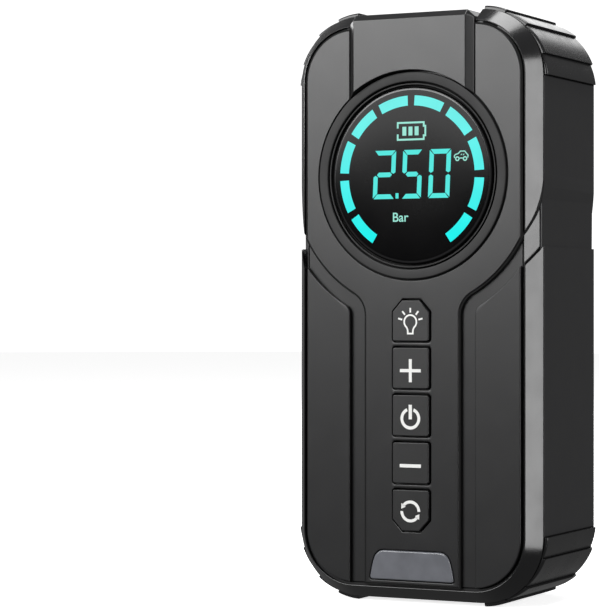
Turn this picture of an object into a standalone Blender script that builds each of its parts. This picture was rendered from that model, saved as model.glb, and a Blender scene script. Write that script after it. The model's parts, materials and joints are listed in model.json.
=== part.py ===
"""Jump starter pack with a built-in tyre inflator: one named object for each sub-part.

Run with: blender --background --python part.py
The pack stands on its lower corner bumpers. +Z is up, the display faces -Y, and the origin is
under the middle of the bounding box. Sizes below are in millimetres, and MM turns them into metres.
"""

import math

import bmesh
import bpy
from mathutils import Matrix, Vector

MM = 0.001

# ---------------------------------------------------------------- driving dimensions (mm)
HEIGHT = 202.0                  # over the corner bumpers
DEPTH = 60.0                    # bridge face to back face
BODY_HALF_WIDTH = 45.6          # case sides, without the bumpers
BUMPER_PROUD = 1.3
BODY_RADIUS = 22.8              # corner radius of the case in the front view
RIB_ANGLES = (18, 45, 72)       # grooves across each bumper, in degrees round its corner
RIB_DEPTH = 0.8
GAP = 0.3                       # clearance between neighbouring pieces
CORNER_STEPS = 8                # facets in each rounded case corner
ROUND_STEPS = 48                # facets in a large circle

MID_Z = HEIGHT / 2
BODY_HALF_HEIGHT = MID_Z - BUMPER_PROUD
BRIDGE_PROUD = 2.3
FACE = BRIDGE_PROUD - DEPTH / 2   # y of the front panel's face
BACK = DEPTH / 2                  # y of the back face
CORNER_X = BODY_HALF_WIDTH - BODY_RADIUS
CORNER_Z = BODY_HALF_HEIGHT - BODY_RADIUS

WALL = 2.2
PANEL_INSET = 5.6               # front panel's edge, in from the case side
GROOVE_INSET = 4.4              # inner edge of the sloping rim
RIM_DROP = 0.5                  # inner edge of the rim, behind the panel face
SEAM = FACE + 6.6               # where the sloping rim meets the case side
DECK = FACE + 1.8               # front of the deck under the panels
DECK_BACK = DECK + 2.0
PLATE_BACK = DECK - GAP
SIDE_END = BACK - 6.2           # where the back chamfer starts
BACK_INSET = 5.0

DISPLAY_Z = MID_Z + 44.05
BEZEL_RADIUS = 35.0
BEZEL_INNER = 31.7
BEZEL_HOLE = 35.5
LENS_RADIUS = 30.0
DISPLAY_PROUD = 0.6             # bezel and lens, in front of the panel face
UPPER_RADIUS = 45.2             # lower edge of the upper panel, round the display
GUARD_RADIUS = 50.5             # upper edge of the guard plates, round the display
GUARD_RIM_RADIUS = 51.6         # the same edge where it crosses the rim
CHANNEL_DEPTH = 1.0
CHANNEL_START_X = 30.0          # the cut across the rim begins under the guard plates
STRIP_HALF_WIDTH = 17.4         # centre strip that carries the buttons
STRIP_FILLET = 9.0              # between the strip and the round part above it
GUARD_HALF_GAP = 23.6           # inner edge of the guard plates

BUTTON_PITCH = 16.0
BUTTON_HALF = 6.75
BUTTON_WINDOW = 7.25
BUTTON_PROUD = 0.9
BUTTON_TRAVEL = 0.8
BUTTONS = ("mode_button", "minus_button", "power_button", "plus_button", "light_button")
FIRST_BUTTON_Z = MID_Z - 68.95

BRIDGE_HALF_WIDTH = 20.9
BRIDGE_BASE = BRIDGE_HALF_WIDTH + BRIDGE_PROUD
BRIDGE_TOP = MID_Z + 99.0
BRIDGE_BEVEL = 2.0

VENT_ROWS = 6                   # slots in the back, on both sides of the middle
VENT_X = (5.0, 27.0)
VENT_Z, VENT_PITCH, VENT_HEIGHT = 148.0, 4.2, 1.7

PORT_Z = (146.5, 175.5)         # opening in the left side
PORT_Y = (-12.0, 21.6)
HINGE_X = -44.3
HINGE_Y = 18.7
SOCKET_Y, SOCKET_Z = -4.0, 160.5
SOCKET_PITCH = 10.4
USB_BOARD_Y = 12.2
LEAD_RADIUS = 2.2

SCREW_X, SCREW_Z = 35.0, 80.0   # from the middle of the case
PUMP_Y = 6.0                    # plane of the crank and cylinder axes
CRANK_Z = 140.0
GEAR_MODULE = 0.8
PINION_TEETH, GEAR_TEETH = 12, 36
MOTOR_Z = CRANK_Z - GEAR_MODULE * (PINION_TEETH + GEAR_TEETH) / 2
CRANK_THROW = 5.0
ROD_LENGTH = 34.5

# name: (colour, roughness, metallic)
FINISHES = {
    "case_black": ((0.035, 0.036, 0.038), 0.45, 0.0),
    "panel_black": ((0.045, 0.046, 0.048), 0.38, 0.0),
    "rim_black": ((0.05, 0.05, 0.052), 0.25, 0.0),
    "bumper_rubber": ((0.02, 0.02, 0.021), 0.35, 0.0),
    "bezel_grey": ((0.06, 0.06, 0.062), 0.3, 0.0),
    "display_glass": ((0.005, 0.005, 0.006), 0.05, 0.0),
    "button_rubber": ((0.04, 0.04, 0.042), 0.5, 0.0),
    "lamp_lens": ((0.42, 0.44, 0.48), 0.2, 0.0),
    "mirror_plate": ((0.8, 0.8, 0.8), 0.12, 1.0),
    "circuit_green": ((0.02, 0.16, 0.07), 0.45, 0.0),
    "steel": ((0.55, 0.56, 0.58), 0.3, 1.0),
    "brass": ((0.72, 0.53, 0.22), 0.28, 1.0),
    "copper_gold": ((0.83, 0.62, 0.28), 0.25, 1.0),
    "cell_pouch": ((0.6, 0.62, 0.66), 0.4, 0.6),
    "socket_blue": ((0.03, 0.2, 0.62), 0.4, 0.0),
    "gear_nylon": ((0.75, 0.73, 0.68), 0.5, 0.0),
    "cast_alloy": ((0.5, 0.51, 0.53), 0.45, 1.0),
    "lead_red": ((0.55, 0.02, 0.02), 0.5, 0.0),
    "lead_black": ((0.015, 0.015, 0.015), 0.5, 0.0),
    "seal_rubber": ((0.02, 0.02, 0.02), 0.7, 0.0),
    "inner_plastic": ((0.1, 0.1, 0.105), 0.55, 0.0),
}


# ---------------------------------------------------------------- helpers
def clear_scene():
    for obj in list(bpy.data.objects):
        bpy.data.objects.remove(obj, do_unlink=True)


def finish(name):
    """The named material, made the first time it is asked for."""
    found = bpy.data.materials.get(name)
    if found:
        return found
    colour, roughness, metallic = FINISHES[name]
    made = bpy.data.materials.new(name)
    made.use_nodes = True
    shader = made.node_tree.nodes["Principled BSDF"]
    shader.inputs["Base Color"].default_value = (*colour, 1)
    shader.inputs["Roughness"].default_value = roughness
    shader.inputs["Metallic"].default_value = metallic
    return made


def add_object(name, bm, material, origin=(0, 0, 0)):
    """Makes an object from a bmesh in millimetres, with its origin at the point given."""
    bmesh.ops.remove_doubles(bm, verts=bm.verts, dist=1e-5)
    bmesh.ops.recalc_face_normals(bm, faces=bm.faces)
    bmesh.ops.translate(bm, verts=bm.verts, vec=-Vector(origin))
    bmesh.ops.scale(bm, verts=bm.verts, vec=(MM, MM, MM))
    mesh = bpy.data.meshes.new(name)
    bm.to_mesh(mesh)
    bm.free()
    mesh.shade_smooth()
    mesh.set_sharp_from_angle(angle=math.radians(30))
    obj = bpy.data.objects.new(name, mesh)
    bpy.context.scene.collection.objects.link(obj)
    obj.location = Vector(origin) * MM
    if material:
        mesh.materials.append(finish(material))
    return obj


def combine(target, other, operation="DIFFERENCE"):
    """Adds a Boolean with another object, which is kept out of renders."""
    other.hide_render = True
    other.display_type = "WIRE"
    modifier = target.modifiers.new(other.name, "BOOLEAN")
    modifier.operation = operation
    modifier.object = other
    modifier.solver = "EXACT"
    return target


def arc(cx, cz, radius, start, end, steps):
    """Points on a circle from one angle to another, in degrees, ends included."""
    points = []
    for i in range(steps + 1):
        a = math.radians(start + (end - start) * i / steps)
        points.append((cx + radius * math.cos(a), cz + radius * math.sin(a)))
    return points


def rounded_rect(half_width, half_height, radius, cx=0.0, cz=MID_Z, steps=CORNER_STEPS):
    """Anticlockwise outline in the front view."""
    points = []
    for sx, sz, start in ((1, 1, 0), (-1, 1, 90), (-1, -1, 180), (1, -1, 270)):
        x = cx + sx * (half_width - radius)
        z = cz + sz * (half_height - radius)
        points += arc(x, z, radius, start, start + 90, steps)
    return points


def case_outline(inset):
    """The case's outline in the front view, moved inwards."""
    return rounded_rect(BODY_HALF_WIDTH - inset, BODY_HALF_HEIGHT - inset, BODY_RADIUS - inset)


def loft(rings):
    """A closed solid through outlines of equal length, each (outline, y), capped at both ends."""
    bm = bmesh.new()
    loops = [[bm.verts.new((x, y, z)) for x, z in outline] for outline, y in rings]
    for a, b in zip(loops, loops[1:]):
        for i in range(len(a)):
            j = (i + 1) % len(a)
            bm.faces.new((a[i], a[j], b[j], b[i]))
    caps = [bm.faces.new(loops[0]), bm.faces.new(loops[-1])]
    bm.normal_update()
    bmesh.ops.triangulate(bm, faces=caps, quad_method="BEAUTY", ngon_method="EAR_CLIP")
    return bm


def slab(outline, y0, y1):
    """A front-view outline extruded along Y."""
    return loft([(outline, y0), (outline, y1)])


def block(lo, hi, bevel=0.0):
    """A box between two corners, with its edges bevelled."""
    bm = bmesh.new()
    bmesh.ops.create_cube(bm, size=1)
    size = Vector(hi) - Vector(lo)
    bmesh.ops.scale(bm, verts=bm.verts, vec=size)
    bmesh.ops.translate(bm, verts=bm.verts, vec=(Vector(lo) + Vector(hi)) / 2)
    if bevel:
        bmesh.ops.bevel(bm, geom=list(bm.edges), offset=bevel, segments=1, profile=0.5,
                        affect="EDGES", material=-1)
    return bm


def turned(profile, axis, centre, closed=True, steps=24):
    """Spins a profile of (radius, height) about an axis letter through a centre."""
    bm = bmesh.new()
    verts = [bm.verts.new((r, 0, h)) for r, h in profile]
    edges = [bm.edges.new(pair) for pair in zip(verts, verts[1:])]
    if closed:
        edges.append(bm.edges.new((verts[-1], verts[0])))
    bmesh.ops.spin(bm, geom=verts + edges, cent=(0, 0, 0), axis=(0, 0, 1), dvec=(0, 0, 0),
                   angle=math.tau, steps=steps, use_merge=True, use_duplicate=False)
    turn = {"X": Matrix.Rotation(math.pi / 2, 4, "Y"), "Y": Matrix.Rotation(-math.pi / 2, 4, "X"),
            "Z": Matrix.Identity(4)}[axis]
    bmesh.ops.remove_doubles(bm, verts=bm.verts, dist=1e-5)
    bmesh.ops.transform(bm, matrix=Matrix.Translation(centre) @ turn, verts=bm.verts)
    return bm


def rod(radius, low, high, axis, centre, steps=24):
    """A plain cylinder, from one height to another along an axis through a centre."""
    return turned([(0, low), (radius, low), (radius, high), (0, high)], axis, centre, False, steps)


def tube(inner, outer, low, high, axis, centre, steps=24):
    return turned([(inner, low), (outer, low), (outer, high), (inner, high)], axis, centre, True, steps)


def cutter(name, bm):
    return add_object("cut_" + name, bm, None)


def display_point(radius, x):
    """Height at which a circle round the display's centre, below it, passes a given x."""
    return DISPLAY_Z - math.sqrt(radius * radius - x * x)


# ---------------------------------------------------------------- case and panels
def channel_cutter():
    """Cuts the channel between the upper body and the guards where it crosses the rim and the sides."""
    reach = BODY_HALF_WIDTH + 3
    upper = BODY_HALF_WIDTH
    low_angle = -math.degrees(math.acos(CHANNEL_START_X / upper))
    far_angle = -math.degrees(math.acos(CHANNEL_START_X / GUARD_RIM_RADIUS))
    side_angle = -math.degrees(math.acos(BODY_HALF_WIDTH / GUARD_RIM_RADIUS))
    outline = arc(0, DISPLAY_Z, upper, 0, low_angle, 12)
    outline += arc(0, DISPLAY_Z, GUARD_RIM_RADIUS, far_angle, side_angle, 8)
    step_z = outline[-1][1]
    outline += [(reach, step_z), (reach, DISPLAY_Z)]
    core_rings = [(case_outline(GROOVE_INSET + CHANNEL_DEPTH), FACE - 1),
                  (case_outline(GROOVE_INSET + CHANNEL_DEPTH), FACE + 1.2),
                  (case_outline(CHANNEL_DEPTH), SEAM + 0.7),
                  (case_outline(CHANNEL_DEPTH), SIDE_END + 0.6),
                  (case_outline(BACK_INSET + CHANNEL_DEPTH), BACK + 1)]
    core = cutter("channel_core", loft(core_rings))
    made = []
    for side in (-1, 1):
        band = cutter(f"channel_{side}", slab([(side * x, z) for x, z in outline], FACE - 2, BACK + 2))
        combine(band, core)
        made.append(band)
    return made


def bridge_cutter():
    """The notch over the top of the case that the bridge drops into."""
    half = BRIDGE_BASE + GAP
    return cutter("bridge_notch", block((-half, FACE - 5, BRIDGE_TOP - 4.0),
                                        (half, SIDE_END + GAP, BRIDGE_TOP + 5)))


def bumper_outline(inner, outer, flat=False):
    """Quarter ring round the top right case corner: a bumper with a flat where it rests, or its seat."""
    points = arc(CORNER_X, MID_Z + CORNER_Z, outer, 0, 80, CORNER_STEPS * 2)
    top = MID_Z + CORNER_Z + outer
    end_x = BRIDGE_BASE + (2 * GAP if flat else 0.1)
    if flat:
        points += [(CORNER_X + 3.2, top), (end_x, top)]
    else:
        points += [(end_x, top - 0.03)]
    end_angle = math.degrees(math.acos((end_x - CORNER_X) / inner))
    points += arc(CORNER_X, MID_Z + CORNER_Z, inner, end_angle, 0, CORNER_STEPS)
    if not flat:
        low = MID_Z + CORNER_Z - GAP
        points += [(CORNER_X + inner, low), (CORNER_X + outer, low)]
    return points


def mirrored(outline, sx, sz):
    return [(sx * x, MID_Z + sz * (z - MID_Z)) for x, z in outline]


CORNERS = {"top_right": (1, 1), "top_left": (-1, 1), "bottom_right": (1, -1), "bottom_left": (-1, -1)}


def make_rear_case(channels, notch):
    bm = loft([
        (case_outline(WALL), SEAM + GAP), (case_outline(0), SEAM + GAP),
        (case_outline(0), SIDE_END), (case_outline(BACK_INSET - 0.6), BACK - 0.6),
        (case_outline(BACK_INSET), BACK),
    ])
    case = add_object("rear_case", bm, "case_black")
    inner = cutter("case_hollow", loft([
        (case_outline(WALL), SEAM - 1), (case_outline(WALL), SIDE_END - 1),
        (case_outline(BACK_INSET + 1.2), BACK - WALL - 0.2)]))
    combine(case, inner)
    for band in channels:
        combine(case, band)
    combine(case, notch)
    for name, (sx, sz) in CORNERS.items():
        seat = bumper_outline(BODY_RADIUS - 0.9, BODY_RADIUS + 3)
        y0, y1 = SEAM - 1, SIDE_END + GAP
        combine(case, cutter(f"seat_{name}", slab(mirrored(seat, sx, sz), y0, y1)))
    for name, (sx, sz) in CORNERS.items():
        at = (sx * SCREW_X, 0, MID_Z + sz * SCREW_Z)
        combine(case, cutter(f"boss_{name}", rod(4.2, 6.0, BACK - 1.4, "Y", at)), "UNION")
        bore = [(0, 5), (1.8, 5), (1.8, BACK - 3), (3.3, BACK - 3), (3.3, BACK + 1), (0, BACK + 1)]
        combine(case, cutter(f"bore_{name}", turned(bore, "Y", at, False)))
    low, high = PORT_Z
    opening = block((-BODY_HALF_WIDTH - 2, PORT_Y[0] - GAP, low - GAP),
                    (-BODY_HALF_WIDTH + WALL + 1, PORT_Y[1], high + GAP))
    combine(case, cutter("port_opening", opening))
    for i in range(VENT_ROWS):
        z = VENT_Z + VENT_PITCH * i
        for side in (-1, 1):
            x0, x1 = sorted(side * x for x in VENT_X)
            slot = block((x0, BACK - 5, z), (x1, BACK + 1, z + VENT_HEIGHT))
            combine(case, cutter(f"vent_{i}_{side}", slot))
    return case


def make_front_frame(channels, notch):
    bm = loft([
        (case_outline(GROOVE_INSET), DECK), (case_outline(GROOVE_INSET), FACE + RIM_DROP),
        (case_outline(0), SEAM), (case_outline(WALL + GAP), SEAM),
        (case_outline(WALL + GAP), SEAM + 3), (case_outline(WALL + 1.8), SEAM + 3),
        (case_outline(WALL + 1.8), DECK_BACK),
    ])
    frame = add_object("front_frame", bm, "rim_black")
    for band in channels:
        combine(frame, band)
    combine(frame, notch)
    combine(frame, cutter("display_seat", rod(31.0, FACE - 2, DECK_BACK + 2, "Y", (0, 0, DISPLAY_Z),
                                              ROUND_STEPS)))
    for name, z in button_places():
        combine(frame, cutter("deck_" + name, slab(button_outline(name, BUTTON_HALF + GAP), DECK - 2,
                                                   DECK_BACK + 2)))
    combine(frame, cutter("deck_lamp", slab(lamp_outline(-0.6), DECK - 2, DECK_BACK + 2)))
    for name, (sx, sz) in CORNERS.items():
        at = (sx * SCREW_X, 0, MID_Z + sz * SCREW_Z)
        combine(frame, cutter(f"post_{name}", rod(4.0, DECK_BACK - 1, 6.0 - GAP, "Y", at)), "UNION")
        combine(frame, cutter(f"pilot_{name}", rod(1.7, -7, 7, "Y", at)))
    return frame


def make_front_panel():
    """The upper panel round the display and the strip with the buttons, in one piece."""
    half = BODY_HALF_WIDTH - PANEL_INSET
    edge_z = display_point(UPPER_RADIUS, half)
    # The fillet touches the circle round the display from outside and the strip's side.
    fx = STRIP_HALF_WIDTH + STRIP_FILLET
    fz = DISPLAY_Z - math.sqrt((UPPER_RADIUS + STRIP_FILLET) ** 2 - fx * fx)
    touch = math.degrees(math.atan2(DISPLAY_Z - fz, -fx))
    start = math.degrees(math.atan2(edge_z - DISPLAY_Z, half))
    meet = math.degrees(math.atan2(fz - DISPLAY_Z, fx))
    bottom = MID_Z - BODY_HALF_HEIGHT + PANEL_INSET
    notch = BRIDGE_BASE + GAP
    corner = BODY_RADIUS - PANEL_INSET
    top = 2 * MID_Z - bottom
    right = [(STRIP_HALF_WIDTH, bottom)]
    right += arc(fx, fz, STRIP_FILLET, 180, touch, 6)
    right += arc(0, DISPLAY_Z, UPPER_RADIUS, meet, start, 8)[1:]
    end = math.degrees(math.acos((notch - half + corner) / corner))
    right += arc(half - corner, top - corner, corner, 0, end, CORNER_STEPS)
    hole_angle = math.degrees(math.acos(notch / BEZEL_HOLE))
    right += arc(0, DISPLAY_Z, BEZEL_HOLE, hole_angle, -90, 20)
    outline = right + [(-x, z) for x, z in reversed(right[:-1])]
    panel = add_object("front_panel", slab(outline, FACE, PLATE_BACK), "panel_black")
    for name, z in button_places():
        combine(panel, cutter("window_" + name, slab(button_outline(name, BUTTON_WINDOW), FACE - 1, DECK)))
    combine(panel, cutter("window_lamp", slab(lamp_outline(GAP), FACE - 1, DECK)))
    return panel


def make_guard_plates():
    """The two plates beside the button strip, below the channel."""
    half = BODY_HALF_WIDTH - PANEL_INSET
    corner = BODY_RADIUS - PANEL_INSET
    bottom = MID_Z - BODY_HALF_HEIGHT + PANEL_INSET
    inner = math.degrees(math.acos((GUARD_HALF_GAP + 1.2) / GUARD_RADIUS))
    outer = math.degrees(math.acos(half / GUARD_RADIUS))
    outline = arc(0, DISPLAY_Z, GUARD_RADIUS, -inner, -outer, 6)
    end = math.degrees(math.acos((GUARD_HALF_GAP - half + corner) / corner))
    outline += arc(half - corner, bottom + corner, corner, 0, -end, CORNER_STEPS)
    outline += [(GUARD_HALF_GAP, outline[0][1] - 2.0)]
    for name, side in (("left_guard_plate", -1), ("right_guard_plate", 1)):
        add_object(name, slab([(side * x, z) for x, z in outline], FACE, PLATE_BACK), "panel_black")


def make_top_bridge():
    """The raised band over the top: it starts at the display and carries the air outlet."""
    top, bevel = BRIDGE_TOP, BRIDGE_BEVEL
    face = FACE - BRIDGE_PROUD
    start = DISPLAY_Z + 24
    end = SIDE_END
    # Side view, (y, z), at the middle width and at the base width.
    inner = [(face, start), (face, top - bevel), (face + bevel, top), (end - bevel, top),
             (end, top - bevel)]
    outer = [(FACE, start), (FACE, top - BRIDGE_PROUD - 1), (FACE + 1, top - BRIDGE_PROUD),
             (end - bevel, top - BRIDGE_PROUD), (end, top - BRIDGE_PROUD - 1)]
    base = [(PLATE_BACK, start), (PLATE_BACK, top - 3.7), (PLATE_BACK + 0.5, top - 3.7),
            (end - bevel, top - 3.7), (end, top - 3.7)]
    bm = bmesh.new()
    rows = []
    for half, side in ((BRIDGE_BASE, base), (BRIDGE_BASE, outer), (BRIDGE_HALF_WIDTH, inner)):
        rows.append([bm.verts.new((-half, y, z)) for y, z in side])
    for half, side in ((BRIDGE_HALF_WIDTH, inner), (BRIDGE_BASE, outer), (BRIDGE_BASE, base)):
        rows.append([bm.verts.new((half, y, z)) for y, z in side])
    rows.append(rows[0])
    for a, b in zip(rows, rows[1:]):
        for i in range(len(a) - 1):
            bm.faces.new((a[i], a[i + 1], b[i + 1], b[i]))
    bm.faces.new([row[0] for row in rows[:-1]])
    bm.faces.new([row[-1] for row in rows[:-1]])
    bridge = add_object("top_bridge", bm, "panel_black")
    combine(bridge, cutter("bezel_round", rod(BEZEL_HOLE, FACE - 6, DECK, "Y", (0, 0, DISPLAY_Z),
                                              ROUND_STEPS)))
    combine(bridge, cutter("outlet_hole", rod(6.8, top - 6, top + 2, "Z", (0, PUMP_Y, 0))))
    return bridge


def make_bumpers():
    for name, (sx, sz) in CORNERS.items():
        radius = BODY_RADIUS + BUMPER_PROUD
        full = bumper_outline(BODY_RADIUS - 0.6, radius, True)
        slim = bumper_outline(BODY_RADIUS - 0.6, radius - 1.0, True)
        rings = [(slim, SEAM + GAP + 0.1), (full, SEAM + 2.0), (full, SIDE_END - 2.0), (slim, SIDE_END)]
        bumper = add_object("bumper_" + name, loft([(mirrored(o, sx, sz), y) for o, y in rings]),
                            "bumper_rubber")
        for angle in RIB_ANGLES:
            points = []
            for r, spread in ((radius - RIB_DEPTH, 0), (radius + 1, 3.4), (radius + 1, -3.4)):
                b = math.radians(angle + spread)
                points.append((CORNER_X + r * math.cos(b), MID_Z + CORNER_Z + r * math.sin(b)))
            groove = slab(mirrored(points, sx, sz), SEAM - 1, SIDE_END + 1)
            combine(bumper, cutter(f"rib_{name}_{angle}", groove))


# ---------------------------------------------------------------- display
def make_display():
    at = (0, 0, DISPLAY_Z)
    front, seat = FACE - DISPLAY_PROUD, FACE + 0.9
    shelf = LENS_RADIUS - 2.0
    bezel = [(BEZEL_RADIUS, FACE + 1.5), (BEZEL_RADIUS, front + 0.4), (BEZEL_RADIUS - 0.4, front),
             (BEZEL_INNER + 0.4, front), (BEZEL_INNER, front + 0.4), (BEZEL_INNER, seat),
             (shelf, seat), (shelf, FACE + 1.5)]
    add_object("display_bezel", turned(bezel, "Y", at, True, ROUND_STEPS), "bezel_grey")
    lens = [(0, front), (LENS_RADIUS - 0.8, front), (LENS_RADIUS, front + 0.7),
            (LENS_RADIUS, FACE + 0.6), (0, FACE + 0.6)]
    add_object("display_lens", turned(lens, "Y", at, False, ROUND_STEPS), "display_glass")
    add_object("display_module", rod(30.5, FACE + 1.8, FACE + 5.8, "Y", at, 32), "inner_plastic")


# ---------------------------------------------------------------- buttons and lamp
def button_places():
    return [(name, FIRST_BUTTON_Z + BUTTON_PITCH * i) for i, name in enumerate(BUTTONS)]


def button_outline(name, half):
    """A near-square cap. The top and bottom ones have their outer corners cut off."""
    z = dict(button_places())[name]
    grow = half - BUTTON_HALF
    tall = half + 0.15
    square = rounded_rect(half, tall, 0.8 + grow / 2, 0, z, 2)
    if name not in (BUTTONS[0], BUTTONS[-1]):
        return square
    cut_x, cut_z = 3.0 + grow * 0.4, 2.5 + grow * 0.4
    sign = 1 if name == BUTTONS[-1] else -1
    kept = [p for p in square if sign * (p[1] - z) < 0]
    cut = [(half, z + sign * cut_z), (cut_x, z + sign * tall), (-cut_x, z + sign * tall),
           (-half, z + sign * cut_z)]
    return cut + kept if sign > 0 else kept + cut[::-1]


def make_buttons():
    for name, z in button_places():
        face = FACE - BUTTON_PROUD
        cap = loft([(button_outline(name, BUTTON_HALF - 0.6), face),
                    (button_outline(name, BUTTON_HALF), face + 0.6),
                    (button_outline(name, BUTTON_HALF), DECK_BACK + GAP),
                    (button_outline(name, BUTTON_HALF + 1.0), DECK_BACK + GAP),
                    (button_outline(name, BUTTON_HALF + 1.0), DECK_BACK + GAP + 0.6)])
        add_object(name, cap, "button_rubber", (0, FACE, z))


def make_control_board():
    """The board behind the buttons, with one soldered switch under each cap."""
    front = DECK_BACK + GAP + 0.6 + BUTTON_TRAVEL + GAP + 1.6
    low, high = FIRST_BUTTON_Z - 8, FIRST_BUTTON_Z + 4 * BUTTON_PITCH + 7
    board = add_object("control_board", block((-11, front, low), (11, front + 1.6, high)), "circuit_green")
    for name, z in button_places():
        switch = block((-3, front - 1.6, z - 3), (3, front + 0.5, z + 3))
        combine(board, cutter("switch_" + name, switch), "UNION")


def lamp_outline(grow):
    """The lamp's window: a flat foot, leaning sides and well-rounded upper corners."""
    base = MID_Z - 92.7
    half = [(15.0, base), (15.6, base + 0.9), (15.1, base + 3.6), (14.4, base + 6.5), (13.6, base + 8.1),
            (12.4, base + 9.2), (10.6, base + 9.8), (8.8, base + 9.9)]
    cz = base + 5
    scale_x, scale_z = 1 + grow / 15.6, 1 + grow / 5
    grown = [(x * scale_x, cz + (z - cz) * scale_z) for x, z in half]
    return grown + [(-x, z) for x, z in reversed(grown)]


def make_lamp():
    lens = loft([(lamp_outline(-0.6), FACE - 0.4), (lamp_outline(0), FACE), (lamp_outline(0), PLATE_BACK)])
    add_object("lamp_lens", lens, "lamp_lens")
    back = DECK_BACK + GAP
    reflector = add_object("lamp_reflector", loft([
        (lamp_outline(1.2), back), (lamp_outline(-1.6), back + 6)]), "mirror_plate")
    combine(reflector, cutter("lamp_dish", loft([
        (lamp_outline(0.2), back - 0.5), (lamp_outline(-3.2), back + 5)])))
    strip = MID_Z - 87.7
    board = block((-14, back + 6.3, strip - 4.5), (14, back + 7.5, strip + 4.5))
    add_object("lamp_board", board, "circuit_green")


# ---------------------------------------------------------------- screws
def make_screws():
    for name, (sx, sz) in CORNERS.items():
        at = (sx * SCREW_X, 0, MID_Z + sz * SCREW_Z)
        head, seat = BACK - 0.9, BACK - 2.7
        profile = [(0, -4), (1.4, -3.4), (1.4, seat), (2.8, seat), (2.8, head - 0.5), (2.3, head), (0, head)]
        screw = add_object("case_screw_" + name, turned(profile, "Y", at, False, 16), "steel")
        for i, (w, h) in enumerate(((3.2, 0.7), (0.7, 3.2))):
            x, z = at[0], at[2]
            slot = block((x - w / 2, head - 1.0, z - h / 2), (x + w / 2, head + 1, z + h / 2))
            combine(screw, cutter(f"cross_{name}_{i}", slot))


# ---------------------------------------------------------------- ports on the left side
def make_port_bay():
    inner_face = -BODY_HALF_WIDTH + WALL
    x0, x1 = inner_face + 0.7, inner_face + 2.2
    frame = add_object("port_frame", block((x0, PORT_Y[0] - 2, PORT_Z[0] - 2),
                                           (x1, PORT_Y[1] + 1.2, PORT_Z[1] + 2)), "inner_plastic")
    lugs = ((PORT_Z[0] + 0.1, PORT_Z[0] + 1.6), (PORT_Z[1] - 1.6, PORT_Z[1] - 0.1))
    for i, (low, high) in enumerate(lugs):
        lug = block((HINGE_X, HINGE_Y - 1.0, low), (x0 + 0.4, HINGE_Y + 1.0, high))
        combine(frame, cutter(f"lug_{i}", lug), "UNION")
        eye = rod(1.15, low, high, "Z", (HINGE_X, HINGE_Y, 0), 16)
        combine(frame, cutter(f"eye_{i}", eye), "UNION")
    combine(frame, cutter("pin_bore", rod(0.95, PORT_Z[0] + 0.6, PORT_Z[1] + 1, "Z", (HINGE_X, HINGE_Y, 0),
                                          12)))
    windows = (("socket", (SOCKET_Y - 6.9, SOCKET_Z - 11.3), (SOCKET_Y + 6.9, SOCKET_Z + 11.3)),
               ("usb_a", (USB_BOARD_Y - 6.4, 148.3), (USB_BOARD_Y, 162.1)),
               ("usb_c", (USB_BOARD_Y - 4.0, 164.1), (USB_BOARD_Y, 173.7)))
    for name, low, high in windows:
        combine(frame, cutter("window_" + name, block((x0 - 1, *low), (x1 + 1, *high))))
    pin = rod(0.7, PORT_Z[0] + 0.8, PORT_Z[1] - 0.3, "Z", (HINGE_X, HINGE_Y, 0), 12)
    add_object("port_cover_pin", pin, "steel")


def make_port_cover():
    """A flush moulded cover that swings on the pin along its rear edge."""
    hinge = (HINGE_X, HINGE_Y, (PORT_Z[0] + PORT_Z[1]) / 2)
    x0, x1 = -BODY_HALF_WIDTH, -BODY_HALF_WIDTH + 2.0
    mid_y = (PORT_Y[0] + HINGE_Y - 1.4) / 2
    half = (HINGE_Y - 1.4 - PORT_Y[0]) / 2
    outline = rounded_rect(half, (PORT_Z[1] - PORT_Z[0]) / 2, 1.5, 0, hinge[2], 3)
    bm = bmesh.new()
    for x in (x0, x1):
        bm.faces.new([bm.verts.new((x, mid_y + y, z)) for y, z in outline])
    bmesh.ops.bridge_loops(bm, edges=list(bm.edges))
    cover = add_object("port_cover", bm, "bumper_rubber", hinge)
    low, high = PORT_Z[0] + 1.9, PORT_Z[1] - 1.9
    web = block((x0 + 0.3, HINGE_Y - 3, low), (x1 - 0.1, HINGE_Y, high))
    combine(cover, cutter("cover_web", web), "UNION")
    combine(cover, cutter("knuckle", rod(1.2, low, high, "Z", (HINGE_X, HINGE_Y, 0), 16)), "UNION")
    combine(cover, cutter("knuckle_bore", rod(0.95, low - 1, high + 1, "Z", (HINGE_X, HINGE_Y, 0), 12)))


def make_jump_socket():
    x0, x1 = -BODY_HALF_WIDTH + WALL + 0.2, -24.0
    body = block((x0, SOCKET_Y - 6.6, SOCKET_Z - 11), (x1, SOCKET_Y + 6.6, SOCKET_Z + 11), 1.0)
    socket = add_object("jump_socket", body, "socket_blue")
    for name, side in (("positive", 1), ("negative", -1)):
        at = (0, SOCKET_Y, SOCKET_Z + side * SOCKET_PITCH / 2)
        bore = turned([(0, x0 - 1), (3.8, x0 - 1), (3.8, x1 - 2.5), (2.6, x1 - 2.5), (2.6, x1 + 1),
                       (0, x1 + 1)], "X", at, False, 16)
        combine(socket, cutter("jump_bore_" + name, bore))
        tip = x0 + 2.5
        contact = [(0, x1 + 1.6), (2.2, x1 + 1.6), (2.2, x1 - 2.9), (3.5, x1 - 2.9), (3.5, tip), (3.0, tip),
                   (3.0, x1 - 4.5), (0, x1 - 4.5)]
        add_object("jump_contact_" + name, turned(contact, "X", at, False, 16), "copper_gold")


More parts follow.
